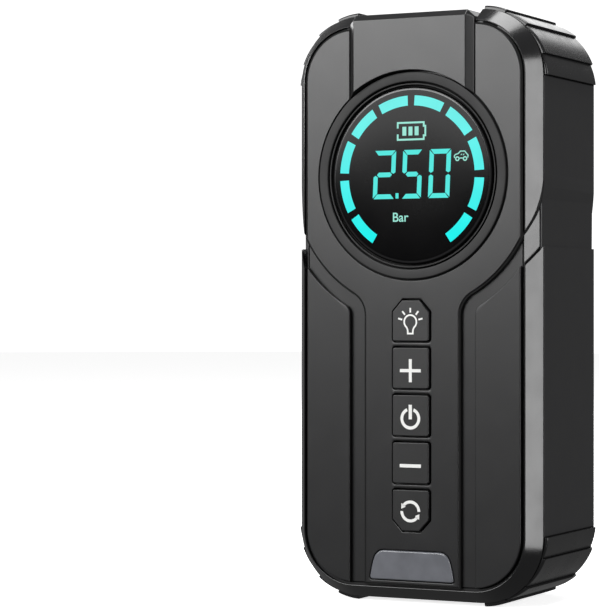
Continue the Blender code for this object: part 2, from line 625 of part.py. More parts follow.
def make_usb_ports():
    x0, x1 = -BODY_HALF_WIDTH + WALL + 0.2, -28.5
    y0, y1 = USB_BOARD_Y - 6.1, USB_BOARD_Y - 0.3
    usb = add_object("usb_a_shell", block((x0, y0, 148.6), (x1, y1, 161.8)), "steel")
    combine(usb, cutter("usb_a_mouth", block((x0 - 1, y0 + 0.5, 149.1), (x1 - 1.5, y1 - 0.5, 161.3))))
    tongue = block((x0 + 1, y0 + 2.6, 149.8), (x1 - 0.8, y0 + 4.5, 160.6))
    combine(usb, cutter("usb_a_tongue", tongue), "UNION")
    y0, y1 = USB_BOARD_Y - 3.5, USB_BOARD_Y - 0.3
    sleeves = (("usb_c_shell", 1.6, 4.5, x0, -34), ("cut_usb_c", 1.2, 4.1, x0 - 1, -35.5))
    for name, half_y, half_z, a, b in sleeves:
        points = rounded_rect(half_y, half_z, half_y - 0.1, (y0 + y1) / 2, 168.9, 4)
        bm = bmesh.new()
        for x in (a, b):
            bm.faces.new([bm.verts.new((x, y, z)) for y, z in points])
        bmesh.ops.bridge_loops(bm, edges=list(bm.edges))
        add_object(name, bm, "steel")
    combine(bpy.data.objects["usb_c_shell"], bpy.data.objects["cut_usb_c"])
    board = block((-41, USB_BOARD_Y, 147.6), (-20, USB_BOARD_Y + 0.8, 174.4))
    add_object("port_board", board, "circuit_green")


# ---------------------------------------------------------------- battery and boards
def make_battery():
    thick, pitch = 9.0, 9.6
    for i in range(3):
        y = -13.0 + pitch * i
        cell = block((-27, y, 9.5), (27, y + thick, 93), 1.6)
        add_object(f"battery_cell_{i + 1}", cell, "cell_pouch")
    y0, y1 = -13.0 - 0.4, -13.0 + 2 * pitch + thick + 0.4
    tray = add_object("battery_tray", block((-28.8, y0 - 1.4, 7.6), (28.8, y1 + 1.4, 30)), "inner_plastic")
    combine(tray, cutter("tray_hollow", block((-27.4, y0, 9.1), (27.4, y1, 31))))
    board = block((-25, y0 + 2, 96), (25, y1 - 2, 97.6))
    add_object("battery_board", board, "circuit_green")
    for name, x in (("bus_bar_positive", 14), ("bus_bar_negative", -20)):
        strip = block((x, -10, 93.4), (x + 6, 12.5, 94.0))
        bar = add_object(name, strip, "copper_gold")
        combine(bar, cutter("rise_" + name, block((x, 11.5, 93.4), (x + 6, 12.5, 95.7))), "UNION")


def smooth_path(points, per_span):
    """A Catmull-Rom curve through the points."""
    ends = [2 * Vector(points[0]) - Vector(points[1])] + [Vector(p) for p in points]
    ends.append(2 * ends[-1] - ends[-2])
    path = []
    for a, b, c, d in zip(ends, ends[1:], ends[2:], ends[3:]):
        for i in range(per_span):
            t = i / per_span
            path.append(0.5 * (2 * b + (c - a) * t + (2 * a - 5 * b + 4 * c - d) * t * t
                               + (3 * b - a - 3 * c + d) * t ** 3))
    return path + [ends[-2]]


def make_leads():
    """Heavy leads from the battery board to the jump socket."""
    back = -24.0 + 1.6 + GAP
    low, high = SOCKET_Z - SOCKET_PITCH / 2, SOCKET_Z + SOCKET_PITCH / 2
    routes = {
        "battery_lead_red": [
            (-14.5, -9, 100.3), (-14.5, -12.6, 106), (-14.5, -13.2, 120), (-13, -14.2, 140),
            (-13, -14.2, 155), (-13.8, -9, 164), (-16, -4.6, high), (back + 3, SOCKET_Y, high),
            (back, SOCKET_Y, high)],
        "battery_lead_black": [
            (-21, -9, 100.3), (-21, -12.4, 106), (-21.6, -13, 120), (-21.6, -12.4, 135),
            (-18.6, -11, 148), (-16.2, -5.4, low), (back + 3, SOCKET_Y, low), (back, SOCKET_Y, low)],
    }
    for name, points in routes.items():
        curve = bpy.data.curves.new(name, "CURVE")
        curve.dimensions = "3D"
        curve.bevel_depth = LEAD_RADIUS * MM
        curve.bevel_resolution = 2
        curve.use_fill_caps = True
        path = smooth_path(points, 4)
        spline = curve.splines.new("POLY")
        spline.points.add(len(path) - 1)
        for point, place in zip(spline.points, path):
            point.co = (*(place * MM), 1)
        obj = bpy.data.objects.new(name, curve)
        bpy.context.scene.collection.objects.link(obj)
        curve.materials.append(finish("lead_red" if name.endswith("red") else "lead_black"))


def make_main_board():
    """The power board stands on edge beside the pump, with its switching parts soldered on."""
    board = add_object("main_board", block((36, -12, 104), (37.6, 24, 174)), "circuit_green")
    parts = {"inductor": ((29, -8, 110), (37, 4, 122)), "relay": ((26, 6, 108), (37, 22, 124)),
             "capacitor": ((28, -6, 128), (37, 2, 136)), "driver": ((33, -8, 142), (37, 2, 152))}
    for name, (lo, hi) in parts.items():
        combine(board, cutter("part_" + name, block(lo, hi)), "UNION")
    sink = add_object("heat_sink", block((24, 6, 130), (35.7, 22, 170)), "cast_alloy")
    for i in range(3):
        y = 8.2 + 4.4 * i
        combine(sink, cutter(f"fin_{i}", block((22, y, 129), (33.5, y + 2.6, 171))))


# ---------------------------------------------------------------- pump
def gear_outline(teeth, addendum, thin):
    """Spur gear outline with 20 degree involute flanks, thinned for backlash."""
    pitch_radius = GEAR_MODULE * teeth / 2
    base = pitch_radius * math.cos(math.radians(20))
    tip, root = pitch_radius + addendum, pitch_radius - 1.25 * GEAR_MODULE
    inv_pitch = math.tan(math.radians(20)) - math.radians(20)
    half_at_pitch = (math.pi * GEAR_MODULE / 2 - thin) / 2 / pitch_radius
    flank = []
    for i in range(4):
        r = max(base, root) + (tip - max(base, root)) * i / 3
        turn = math.acos(min(1.0, base / r))
        flank.append((r, half_at_pitch + inv_pitch - (math.tan(turn) - turn)))
    points = []
    for t in range(teeth):
        middle = math.tau * t / teeth
        left = [(root, middle - flank[0][1])] + [(r, middle - a) for r, a in flank]
        right = [(r, middle + a) for r, a in reversed(flank)] + [(root, middle + flank[0][1])]
        points += left + right
    return [(r * math.cos(a), r * math.sin(a)) for r, a in points]


def gear_solid(outline, x0, x1, y, z, turn, bore):
    """A gear about an axis along X, with a bore."""
    bm = bmesh.new()
    hole = arc(0, 0, bore, 0, 360, 16)[:-1]
    rings = []
    for x in (x0, x1):
        for ring in (outline, hole):
            rings.append([bm.verts.new((x, y + u * math.cos(turn) - v * math.sin(turn),
                                        z + u * math.sin(turn) + v * math.cos(turn))) for u, v in ring])
    for a, b in ((rings[0], rings[2]), (rings[1], rings[3])):
        for i in range(len(a)):
            j = (i + 1) % len(a)
            bm.faces.new((a[i], a[j], b[j], b[i]))
    for outer, inner in ((rings[0], rings[1]), (rings[2], rings[3])):
        edges = [bm.edges.get((ring[i], ring[(i + 1) % len(ring)])) for ring in (outer, inner)
                 for i in range(len(ring))]
        bmesh.ops.triangle_fill(bm, use_beauty=True, use_dissolve=False, edges=edges)
    return bm


def make_motor():
    at = (0, PUMP_Y, MOTOR_Z)
    can = turned([(0, -40), (11.4, -40), (12, -39.4), (12, -13.6), (11.4, -13), (1.6, -13),
                  (1.6, -14), (10.2, -14), (10.2, -39), (0, -39)], "X", at, False, 24)
    add_object("motor_can", can, "steel")
    rotor = add_object("motor_shaft", rod(1.2, -38.6, -4.2, "X", at, 16), "steel", at)
    combine(rotor, cutter("armature", rod(9.5, -38.0, -15.0, "X", at, 24)), "UNION")
    outline = gear_outline(PINION_TEETH, 0.72, 0.2)
    half_tooth = math.pi / PINION_TEETH
    pinion = gear_solid(outline, -10.0, -5.0, PUMP_Y, MOTOR_Z, math.pi / 2 + half_tooth, 1.5)
    add_object("motor_pinion", pinion, "brass", at)


def make_pump_frame():
    """The bracket that holds the motor, the gear's axle and the cylinder."""
    plate = block((-12.7, PUMP_Y - 14, MOTOR_Z - 13), (-10.5, PUMP_Y + 14, 162))
    frame = add_object("pump_frame", plate, "cast_alloy")
    shelf = block((-12.7, PUMP_Y - 14, 158.5), (13, PUMP_Y + 14, 162))
    combine(frame, cutter("pump_shelf", shelf), "UNION")
    combine(frame, cutter("motor_nose", rod(3.2, -14, -9, "X", (0, PUMP_Y, MOTOR_Z))))
    combine(frame, cutter("axle_bore", rod(2.2, -14, -9, "X", (0, PUMP_Y, CRANK_Z))))
    combine(frame, cutter("cylinder_bore", rod(10.4, 150, 170, "Z", (0, PUMP_Y, 0))))


def make_crank():
    at = (0, PUMP_Y, CRANK_Z)
    add_object("gear_axle", rod(1.9, -12.6, -5.8, "X", at, 16), "steel")
    outline = gear_outline(GEAR_TEETH, 0.72, 0.2)
    gear = gear_solid(outline, -9.5, -5.5, PUMP_Y, CRANK_Z, math.pi / 2, 2.15)
    add_object("drive_gear", gear, "gear_nylon", at)
    pin_at = (0, PUMP_Y, CRANK_Z + CRANK_THROW)
    pin = turned([(0, -5.2), (2.2, -5.2), (2.2, -4.2), (1.2, -4.2), (1.2, -2.5), (0, -2.5)],
                 "X", pin_at, False, 12)
    add_object("crank_pin", pin, "steel", at)


def make_piston():
    """Rod and piston in one moulding, as in a wobble pump, with its rubber ring."""
    eye_z = CRANK_Z + CRANK_THROW
    crown = eye_z + ROD_LENGTH
    centre = (0, PUMP_Y, eye_z)
    eye = tube(1.6, 3.4, -2.2, 2.2, "X", centre, 16)
    rod_obj = add_object("piston_rod", eye, "gear_nylon", centre)
    shank = block((-1.8, PUMP_Y - 2.2, eye_z + 2.4), (1.8, PUMP_Y + 2.2, crown - 2))
    combine(rod_obj, cutter("shank", shank), "UNION")
    head = turned([(0, crown - 4), (7.4, crown - 4), (7.4, crown - 2.6), (5.8, crown - 2.6),
                   (5.8, crown - 1.2), (7.4, crown - 1.2), (7.4, crown), (0, crown)],
                  "Z", (0, PUMP_Y, 0), False, 24)
    combine(rod_obj, cutter("piston_head", head), "UNION")
    ring = tube(6.1, 7.7, crown - 2.4, crown - 1.4, "Z", (0, PUMP_Y, 0), 24)
    add_object("piston_seal", ring, "seal_rubber", centre)


def make_cylinder():
    at = (0, PUMP_Y, 0)
    profile = [(8.0, 156.5), (10.0, 156.5), (10.0, 162.3), (13.0, 162.3), (13.0, 164.0), (10.4, 164.0)]
    for i in range(5):
        z = 165.2 + 2.6 * i
        profile += [(10.4, z), (13.4, z), (13.4, z + 1.0), (10.4, z + 1.0)]
    profile += [(10.4, 178.4), (12.4, 178.4), (12.4, 180.2), (8.0, 180.2)]
    add_object("pump_cylinder", turned(profile, "Z", at, True, 32), "cast_alloy")
    head = turned([(0, 180.5), (12.4, 180.5), (12.4, 183.6), (4, 184.6), (2.6, 185.0), (2.6, 188.8),
                   (0, 188.8)], "Z", at, False, 32)
    add_object("cylinder_head", head, "inner_plastic")
    hose = tube(2.9, 4.2, 185.4, 191.4, "Z", at, 16)
    add_object("outlet_hose", hose, "seal_rubber")
    top = BRIDGE_TOP
    outlet = turned([(1.4, 189.2), (2.6, 189.2), (2.6, 191.7), (5.2, 191.7), (5.2, top - 2.0),
                     (6.4, top - 2.0), (6.4, top + 0.6), (6.0, top + 1.0), (4.4, top + 1.0),
                     (3.9, top + 0.4), (3.9, 193.0), (1.4, 193.0)], "Z", at, True, 32)
    add_object("air_outlet", outlet, "brass")


def main():
    clear_scene()
    channels = channel_cutter()
    notch = bridge_cutter()
    make_rear_case(channels, notch)
    make_front_frame(channels, notch)
    make_front_panel()
    make_guard_plates()
    make_top_bridge()
    make_bumpers()
    make_display()
    make_buttons()
    make_control_board()
    make_lamp()
    make_screws()
    make_port_bay()
    make_port_cover()
    make_jump_socket()
    make_usb_ports()
    make_battery()
    make_leads()
    make_main_board()
    make_motor()
    make_pump_frame()
    make_crank()
    make_piston()
    make_cylinder()


main()
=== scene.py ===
import json
import math

import bmesh
import bpy
from mathutils import Matrix, Vector


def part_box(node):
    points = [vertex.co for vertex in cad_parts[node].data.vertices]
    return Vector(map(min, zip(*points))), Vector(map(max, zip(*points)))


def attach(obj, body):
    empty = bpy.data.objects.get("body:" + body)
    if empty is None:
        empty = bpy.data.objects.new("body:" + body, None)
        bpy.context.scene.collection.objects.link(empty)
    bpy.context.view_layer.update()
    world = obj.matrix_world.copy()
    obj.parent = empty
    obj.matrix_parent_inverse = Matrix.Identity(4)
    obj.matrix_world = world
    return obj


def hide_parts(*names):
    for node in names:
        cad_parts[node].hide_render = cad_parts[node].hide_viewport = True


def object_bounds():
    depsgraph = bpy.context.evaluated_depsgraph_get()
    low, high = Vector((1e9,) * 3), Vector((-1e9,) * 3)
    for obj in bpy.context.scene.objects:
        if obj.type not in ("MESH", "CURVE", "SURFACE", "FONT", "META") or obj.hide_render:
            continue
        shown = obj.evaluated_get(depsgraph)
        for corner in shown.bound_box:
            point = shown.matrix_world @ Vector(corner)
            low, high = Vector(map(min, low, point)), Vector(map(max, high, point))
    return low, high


bl_info = {
    "name": "Jump Starter Pack",
    "version": (1, 0, 0),
    "blender": (4, 5, 0),
    "location": "View3D > Sidebar > Jump Starter",
    "description": "Builds the case, gauge, buttons and bumpers of a jump starter pack round its frame",
    "category": "Object",
}

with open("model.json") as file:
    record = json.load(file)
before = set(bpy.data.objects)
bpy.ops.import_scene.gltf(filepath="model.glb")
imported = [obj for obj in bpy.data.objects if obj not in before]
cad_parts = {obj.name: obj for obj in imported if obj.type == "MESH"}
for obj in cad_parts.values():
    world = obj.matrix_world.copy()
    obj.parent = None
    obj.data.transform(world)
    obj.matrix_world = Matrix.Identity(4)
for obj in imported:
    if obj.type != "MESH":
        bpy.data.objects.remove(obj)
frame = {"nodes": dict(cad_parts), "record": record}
CAD_BOX = [list(corner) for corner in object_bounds()]
MM = 0.001


def node_box(node):
    """Lowest and highest corner of a frame node in millimetres."""
    low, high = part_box(node)
    return low / MM, high / MM


CASE = node_box("rear_case")
PANEL = node_box("front_panel")
GUARD = node_box("right_guard_plate")
BUMPER = node_box("bumper_bottom_right")
BRIDGE = node_box("top_bridge")
BEZEL = node_box("display_bezel")
LENS = node_box("display_lens")
LAMP = node_box("lamp_lens")
OUTLET = node_box("air_outlet")
COVER = node_box("port_cover")
BUTTONS = ("mode", "minus", "power", "plus", "light")

# Case, all in millimetres. X is to the right, Y to the back and Z up.
HALF_WIDTH = CASE[1].x
MID_Z = CAD_BOX[1][2] / MM / 2
HALF_HEIGHT = MID_Z - CASE[0].z
CORNER = 22.8
CORNER_STEPS = 20
FACE = PANEL[0].y
DECK = PANEL[1].y + 0.3
DECK_BACK = DECK + 2.0
SEAM = CASE[0].y - 0.3
BACK = CASE[1].y
SIDE_END = BRIDGE[1].y
BACK_INSET = 5.0
WALL = 2.2
PANEL_INSET = HALF_WIDTH - PANEL[1].x
GROOVE_INSET = PANEL_INSET - 1.2
RIM_DROP = 0.5
CORNER_X = HALF_WIDTH - CORNER
CORNER_Z = HALF_HEIGHT - CORNER

# Channel between the upper body and the guards, curved round the display.
DISPLAY_Z = (LENS[0].z + LENS[1].z) / 2
UPPER_RADIUS = 45.2
CHANNEL_START_X = 30.0
CHANNEL_DEPTH = 1.0
GUARD_RADIUS = 50.5
GUARD_RIM_RADIUS = 51.6
STRIP_HALF_WIDTH = 17.4
STRIP_FILLET = 9.0
GUARD_HALF_GAP = GUARD[0].x
BEZEL_HOLE = BEZEL[1].x + 0.5
DISPLAY_SEAT = 31.0

# Buttons: clearance in the deck and rounding of a cap's edge.
BUTTON_GAP = 0.3
CAP_EDGE = 0.28

# Back: vents, outline groove and grip grooves.
VENT_ROWS, VENT_Z, VENT_PITCH = 6, 148.9, 4.2
VENT_X, VENT_HALF_LENGTH = 15.2, 10.2
BACK_LINE = Vector((34.0, 88.0))
GRIP_ROWS, GRIP_Z, GRIP_PITCH, GRIP_HALF_LENGTH = 9, 30.0, 7.0, 22.0

# Display: step inside the bezel, edge of the clear cover, lit ring, figures, reach of the painted reflection
# on the ring and dome.
BEZEL_STEP = 31.7
BROW = 28.9
RING_INNER, RING_OUTER, RING_STEP = 23.6, 27.0, 30.0
FIGURE_HEIGHT = 16.4
PAINTED_HAZE_REACH = 25.0
DOME_DROP = 0.55
DOME_POWER = 4

# Bridge over the top.
BRIDGE_BASE = BRIDGE[1].x
BRIDGE_RISE = FACE - BRIDGE[0].y
BRIDGE_BEVEL = 2.0


# ---------------------------------------------------------------- properties
class JumpStarterShape(bpy.types.PropertyGroup):
    """Sizes of the fine shapes."""

    edge_round: bpy.props.FloatProperty(
        name="Edge round", description="Rounding on the edges of the case and its plates",
        default=0.28 * MM, min=0.0, unit="LENGTH")
    bumper_step: bpy.props.FloatProperty(
        name="Bumper step", description="Height of the steps between the segments of a corner bumper",
        default=0.85 * MM, min=0.0, unit="LENGTH")
    segment_gap: bpy.props.FloatProperty(
        name="Segment gap", description="Gap between two lit segments of the gauge ring",
        default=2.5 * MM, min=0.0, unit="LENGTH")
    print_height: bpy.props.FloatProperty(
        name="Print height", description="How far printed and lit symbols stand above their surface",
        default=0.05 * MM, min=0.0, unit="LENGTH")


class JumpStarterLook(bpy.types.PropertyGroup):
    """Colours and finishes."""

    panel_colour: bpy.props.FloatVectorProperty(
        name="Panel", description="Colour of the front panel and plates", subtype="COLOR", size=3,
        min=0.0, max=1.0, default=(0.0105, 0.0105, 0.011))
    case_colour: bpy.props.FloatVectorProperty(
        name="Case", description="Colour of the rear case", subtype="COLOR", size=3,
        min=0.0, max=1.0, default=(0.0165, 0.0165, 0.0175))
    rim_colour: bpy.props.FloatVectorProperty(
        name="Rim", description="Colour of the polished front frame", subtype="COLOR", size=3,
        min=0.0, max=1.0, default=(0.01, 0.01, 0.0105))
    bumper_colour: bpy.props.FloatVectorProperty(
        name="Bumpers", description="Colour of the corner bumpers", subtype="COLOR", size=3,
        min=0.0, max=1.0, default=(0.008, 0.008, 0.0085))
    symbol_colour: bpy.props.FloatVectorProperty(
        name="Symbols", description="Colour of the symbols printed on the buttons", subtype="COLOR", size=3,
        min=0.0, max=1.0, default=(0.9, 0.9, 0.88))
    glow_colour: bpy.props.FloatVectorProperty(
        name="Gauge glow", description="Light of the gauge ring", subtype="COLOR", size=3,
        min=0.0, max=1.0, default=(0.012, 0.88, 0.85))
    glow_strength: bpy.props.FloatProperty(
        name="Glow strength", description="Brightness of everything lit on the display", default=1.0, min=0.0)
    grain_height: bpy.props.FloatProperty(
        name="Grain", description="Height of the moulded grain", default=0.012 * MM, min=0.0, unit="LENGTH")


class JumpStarterStage(bpy.types.PropertyGroup):
    """Camera and lights."""

    azimuth: bpy.props.FloatProperty(
        name="Azimuth", description="How far the camera stands round to the pack's right",
        default=math.radians(26.0), subtype="ANGLE")
    distance: bpy.props.FloatProperty(
        name="Distance", description="From the camera to the front panel", default=0.803, min=0.1,
        unit="LENGTH")
    lens: bpy.props.FloatProperty(
        name="Lens", description="Focal length in millimetres", default=140.0, min=10.0)
    shift: bpy.props.FloatProperty(
        name="Shift", description="Sideways shift of the frame, as a share of its longer side",
        default=-0.183)
    key: bpy.props.FloatProperty(
        name="Front light", description="Power of the broad light over the front, in watts",
        default=18.6, min=0.0)
    strip: bpy.props.FloatProperty(
        name="Side light", description="Power of the upright light at the right, in watts",
        default=7.6, min=0.0)
    top: bpy.props.FloatProperty(
        name="Top light", description="Power of the light overhead, in watts", default=14.0, min=0.0)
    fill: bpy.props.FloatProperty(
        name="Back light", description="Power of the soft light behind, in watts", default=5.0, min=0.0)
    left: bpy.props.FloatProperty(
        name="Left light", description="Power of the soft light at the left, in watts", default=4.0, min=0.0)
    room: bpy.props.FloatProperty(
        name="Room", description="Brightness of the room that the pack reflects", default=0.16, min=0.0)
    table_glow: bpy.props.FloatProperty(
        name="Table glow", description="Light that the table gives off by itself", default=0.8, min=0.0)


def shape():
    """Settings of the fine shapes."""
    return bpy.context.scene.jump_starter_shape


def look():
    """Settings of the colours and finishes."""
    return bpy.context.scene.jump_starter_look


# ---------------------------------------------------------------- outlines
def arc(cx, cz, radius, start, end, steps):
    """Points on a circle from one angle to another, in degrees, ends included."""
    angles = [math.radians(start + (end - start) * i / steps) for i in range(steps + 1)]
    return [(cx + radius * math.cos(a), cz + radius * math.sin(a)) for a in angles]


def rounded_rect(half_width, half_height, radius, cx=0.0, cz=0.0, steps=CORNER_STEPS):
    """A rectangle with round corners, given by its half sizes and its middle."""
    points = []
    for sx, sz, start in ((1, 1, 0), (-1, 1, 90), (-1, -1, 180), (1, -1, 270)):
        points += arc(cx + sx * (half_width - radius), cz + sz * (half_height - radius), radius, start,
                      start + 90, steps)
    return points


def case_outline(inset):
    """The case in the front view, moved inwards."""
    return rounded_rect(HALF_WIDTH - inset, HALF_HEIGHT - inset, CORNER - inset, 0, MID_Z)


def flipped(outline, sx, sz=1):
    """An outline mirrored across the middle of the case."""
    return [(sx * x, MID_Z + sz * (z - MID_Z)) for x, z in outline]


# ---------------------------------------------------------------- modelling
def ring_of(bm, outline, y, plane="XZ"):
    """A closed loop of edges in the front view at depth y, or in the side view at x."""
    place = (lambda a, b: (a, y, b)) if plane == "XZ" else (lambda a, b: (y, a, b))
    verts = [bm.verts.new(place(a, b)) for a, b in outline]
    return [bm.edges.new((verts[i - 1], verts[i])) for i in range(len(verts))]


def stack(rings, plane="XZ"):
    """A closed solid bridged through outlines of equal length, each (outline, depth)."""
    bm = bmesh.new()
    loops = [ring_of(bm, outline, depth, plane) for outline, depth in rings]
    for a, b in zip(loops, loops[1:]):
        bmesh.ops.bridge_loops(bm, edges=a + b)
    for loop in (loops[0], loops[-1]):
        verts = [edge.verts[0] for edge in loop]
        bm.faces.new(verts)
    tidy(bm)
    return bm


def prism(outline, low, high, plane="XZ"):
    """A solid of one outline between two depths."""
    return stack([(outline, low), (outline, high)], plane)


def tidy(bm, weld=0.002):
    """Welds points that coincide and turns every face outwards."""
    bmesh.ops.remove_doubles(bm, verts=bm.verts, dist=weld)
    bmesh.ops.recalc_face_normals(bm, faces=bm.faces)


def facing(bm, direction):
    """Faces that look along a direction."""
    bm.normal_update()
    return [f for f in bm.faces if f.normal.dot(Vector(direction)) > 0.99]


def step_in(bm, faces, steps):
    """Insets a flat region again and again by (inset, rise), which draws rounded or stepped borders."""
    for inset, rise in steps:
        bmesh.ops.inset_region(bm, faces=faces, thickness=inset, depth=rise, use_boundary=True,
                               use_even_offset=True)


def rounding(radius, steps=3):
    """Steps that turn a sharp border into a quarter round."""
    made = []
    for i in range(steps):
        a, b = (math.pi / 2 * (i + k) / steps for k in (0, 1))
        made.append((radius * (math.cos(a) - math.cos(b)), radius * (math.sin(b) - math.sin(a))))
    return made


def plate(outlines, front, back, edge):
    """A flat plate with holes: the first outline is its border. Its front edges are rounded."""
    bm = bmesh.new()
    edges = []
    for outline in outlines:
        edges += ring_of(bm, outline, back)
    bmesh.ops.triangle_fill(bm, use_beauty=True, edges=edges)
    direction = Vector((0, 1 if front > back else -1, 0))
    bmesh.ops.recalc_face_normals(bm, faces=bm.faces)
    bm.normal_update()
    bm.faces.ensure_lookup_table()
    if bm.faces[0].normal.dot(direction) < 0:
        bmesh.ops.reverse_faces(bm, faces=bm.faces)
    made = bmesh.ops.extrude_face_region(bm, geom=list(bm.faces))
    top = [g for g in made["geom"] if isinstance(g, bmesh.types.BMFace)]
    verts = list({v for f in top for v in f.verts})
    bmesh.ops.translate(bm, verts=verts, vec=direction * (abs(front - back) - edge))
    bm.normal_update()
    if top[0].normal.dot(direction) < 0:
        bmesh.ops.reverse_faces(bm, faces=top)
    step_in(bm, top, rounding(edge))
    tidy(bm)
    return bm


def block(lo, hi):
    """A box between two corners."""
    bm = bmesh.new()
    bmesh.ops.create_cube(bm, size=1)
    bmesh.ops.scale(bm, verts=bm.verts, vec=Vector(hi) - Vector(lo))
    bmesh.ops.translate(bm, verts=bm.verts, vec=(Vector(lo) + Vector(hi)) / 2)
    return bm


def turned(profile, axis, centre, steps=96, closed=True):
    """Spins a profile of (radius, height) once about an axis letter through a centre."""
    bm = bmesh.new()
    verts = [bm.verts.new((r, 0, h)) for r, h in profile]
    edges = [bm.edges.new(pair) for pair in zip(verts, verts[1:])]
    if closed:
        edges.append(bm.edges.new((verts[-1], verts[0])))
    bmesh.ops.spin(bm, geom=verts + edges, cent=(0, 0, 0), axis=(0, 0, 1), dvec=(0, 0, 0),
                   angle=math.tau, steps=steps, use_merge=True, use_duplicate=False)
    turn = {"X": Matrix.Rotation(math.pi / 2, 4, "Y"), "Y": Matrix.Rotation(-math.pi / 2, 4, "X"),
            "Z": Matrix.Identity(4)}[axis]
    bmesh.ops.transform(bm, matrix=Matrix.Translation(centre) @ turn, verts=bm.verts)
    tidy(bm, 0.0005)
    return bm


def joined(*parts):
    """Several closed shapes in one mesh."""
    whole = bmesh.new()
    for bm in parts:
        mesh = bpy.data.meshes.new("part")
        bm.to_mesh(mesh)
        bm.free()
        whole.from_mesh(mesh)
        bpy.data.meshes.remove(mesh)
    return whole


def loose_object(bm):
    """A mesh object for a short-lived job."""
    mesh = bpy.data.meshes.new("loose")
    bm.to_mesh(mesh)
    bm.free()
    obj = bpy.data.objects.new("loose", mesh)
    bpy.context.scene.collection.objects.link(obj)
    return obj


def carve(bm, cutters, operation="DIFFERENCE"):
    """Cuts closed shapes out of another, or joins them to it, and returns the new mesh."""
    body = loose_object(bm)
    tools = [loose_object(cutter) for cutter in cutters]
    for tool in tools:
        modifier = body.modifiers.new("carve", "BOOLEAN")
        modifier.object = tool
        modifier.operation = operation
        modifier.solver = "EXACT"
    bpy.context.view_layer.update()
    made = bmesh.new()
    made.from_object(body, bpy.context.evaluated_depsgraph_get())
    for obj in [body, *tools]:
        mesh = obj.data
        bpy.data.objects.remove(obj)
        bpy.data.meshes.remove(mesh)
    tidy(made, 0.01)
    return made


def soften(bm, width, angle=32.0, where=None):
    """Rounds the edges that are sharper than an angle, and that lie where a test of a point holds."""
    bm.normal_update()
    limit = math.radians(angle)
    sharp = [e for e in bm.edges if e.is_manifold and e.calc_face_angle(0.0) > limit
             and e.calc_length() > width * 0.8 and (not where or all(where(v.co) for v in e.verts))]
    bmesh.ops.bevel(bm, geom=sharp, offset=width, offset_type="OFFSET", segments=2, profile=0.5,
                    affect="EDGES", clamp_overlap=False, material=-1)
    tidy(bm, 0.004)


def settle(name, bm, material, body="pack", replaced=(), weighted=True):
    """Turns a bmesh in millimetres into a finished piece that rides on a body of the frame."""
    bmesh.ops.scale(bm, verts=bm.verts, vec=(MM, MM, MM))
    mesh = bpy.data.meshes.new(name)
    bm.to_mesh(mesh)
    bm.free()
    mesh.shade_smooth()
    mesh.set_sharp_from_angle(angle=math.radians(34))
    mesh.materials.append(material)
    piece = bpy.data.objects.new(name, mesh)
    bpy.context.scene.collection.objects.link(piece)
    if weighted:
        modifier = piece.modifiers.new("even shading", "WEIGHTED_NORMAL")
        modifier.keep_sharp = True
    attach(piece, body)
    if replaced:
        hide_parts(*replaced)
    return piece


# ---------------------------------------------------------------- materials
class Finish:
    """A new material whose node tree is built up step by step."""

    def __init__(self, name, roughness, metallic=0.0):
        self.material = bpy.data.materials.new(name)
        self.material.use_nodes = True
        self.nodes = self.material.node_tree.nodes
        self.links = self.material.node_tree.links
        self.shader = self.nodes["Principled BSDF"]
        self.shader.inputs["Roughness"].default_value = roughness
        self.shader.inputs["Metallic"].default_value = metallic
        self.place = self.nodes.new("ShaderNodeTexCoord").outputs["Object"]

    def stretch(self, factors):
        """Object coordinates scaled along each axis, for a pattern with a direction."""
        mapping = self.nodes.new("ShaderNodeMapping")
        mapping.inputs["Scale"].default_value = factors
        self.links.new(self.place, mapping.inputs["Vector"])
        return mapping.outputs["Vector"]

    def noise(self, size_mm, detail=2.0, place=None):
        """Cloudy pattern with spots of about a size."""
        texture = self.nodes.new("ShaderNodeTexNoise")
        texture.inputs["Scale"].default_value = 1 / (size_mm * MM)
        texture.inputs["Detail"].default_value = detail
        self.links.new(place or self.place, texture.inputs["Vector"])
        return texture.outputs["Fac"]

    def blend(self, source, low, high, start=0.3, end=0.7):
        """Two colours mixed by a pattern, between two of its levels."""
        ramp = self.nodes.new("ShaderNodeValToRGB")
        ramp.color_ramp.elements[0].position = start
        ramp.color_ramp.elements[0].color = (*low, 1)
        ramp.color_ramp.elements[1].position = end
        ramp.color_ramp.elements[1].color = (*high, 1)
        self.links.new(source, ramp.inputs["Fac"])
        return ramp.outputs["Color"]

    def colour(self, output):
        """Leads a pattern into the surface colour."""
        self.links.new(output, self.shader.inputs["Base Color"])

    def gloss(self, source, low, high):
        """Roughness between two values, led by a pattern."""
        level = self.nodes.new("ShaderNodeMapRange")
        level.inputs["From Min"].default_value = 0.3
        level.inputs["From Max"].default_value = 0.7
        level.inputs["To Min"].default_value = low
        level.inputs["To Max"].default_value = high
        self.links.new(source, level.inputs["Value"])
        self.links.new(level.outputs["Result"], self.shader.inputs["Roughness"])

    def glow(self, strength):
        """White light of its own."""
        self.shader.inputs["Emission Color"].default_value = (1, 1, 1, 1)
        self.shader.inputs["Emission Strength"].default_value = strength

    def bump(self, source, height, strength=1.0):
        """Relief of a height in metres, led by a pattern."""
        relief = self.nodes.new("ShaderNodeBump")
        relief.inputs["Distance"].default_value = height
        relief.inputs["Strength"].default_value = strength
        self.links.new(source, relief.inputs["Height"])
        self.links.new(relief.outputs["Normal"], self.shader.inputs["Normal"])


def tint(colour, factor):
    """A colour made lighter or darker."""
    return tuple(min(1.0, c * factor) for c in colour)


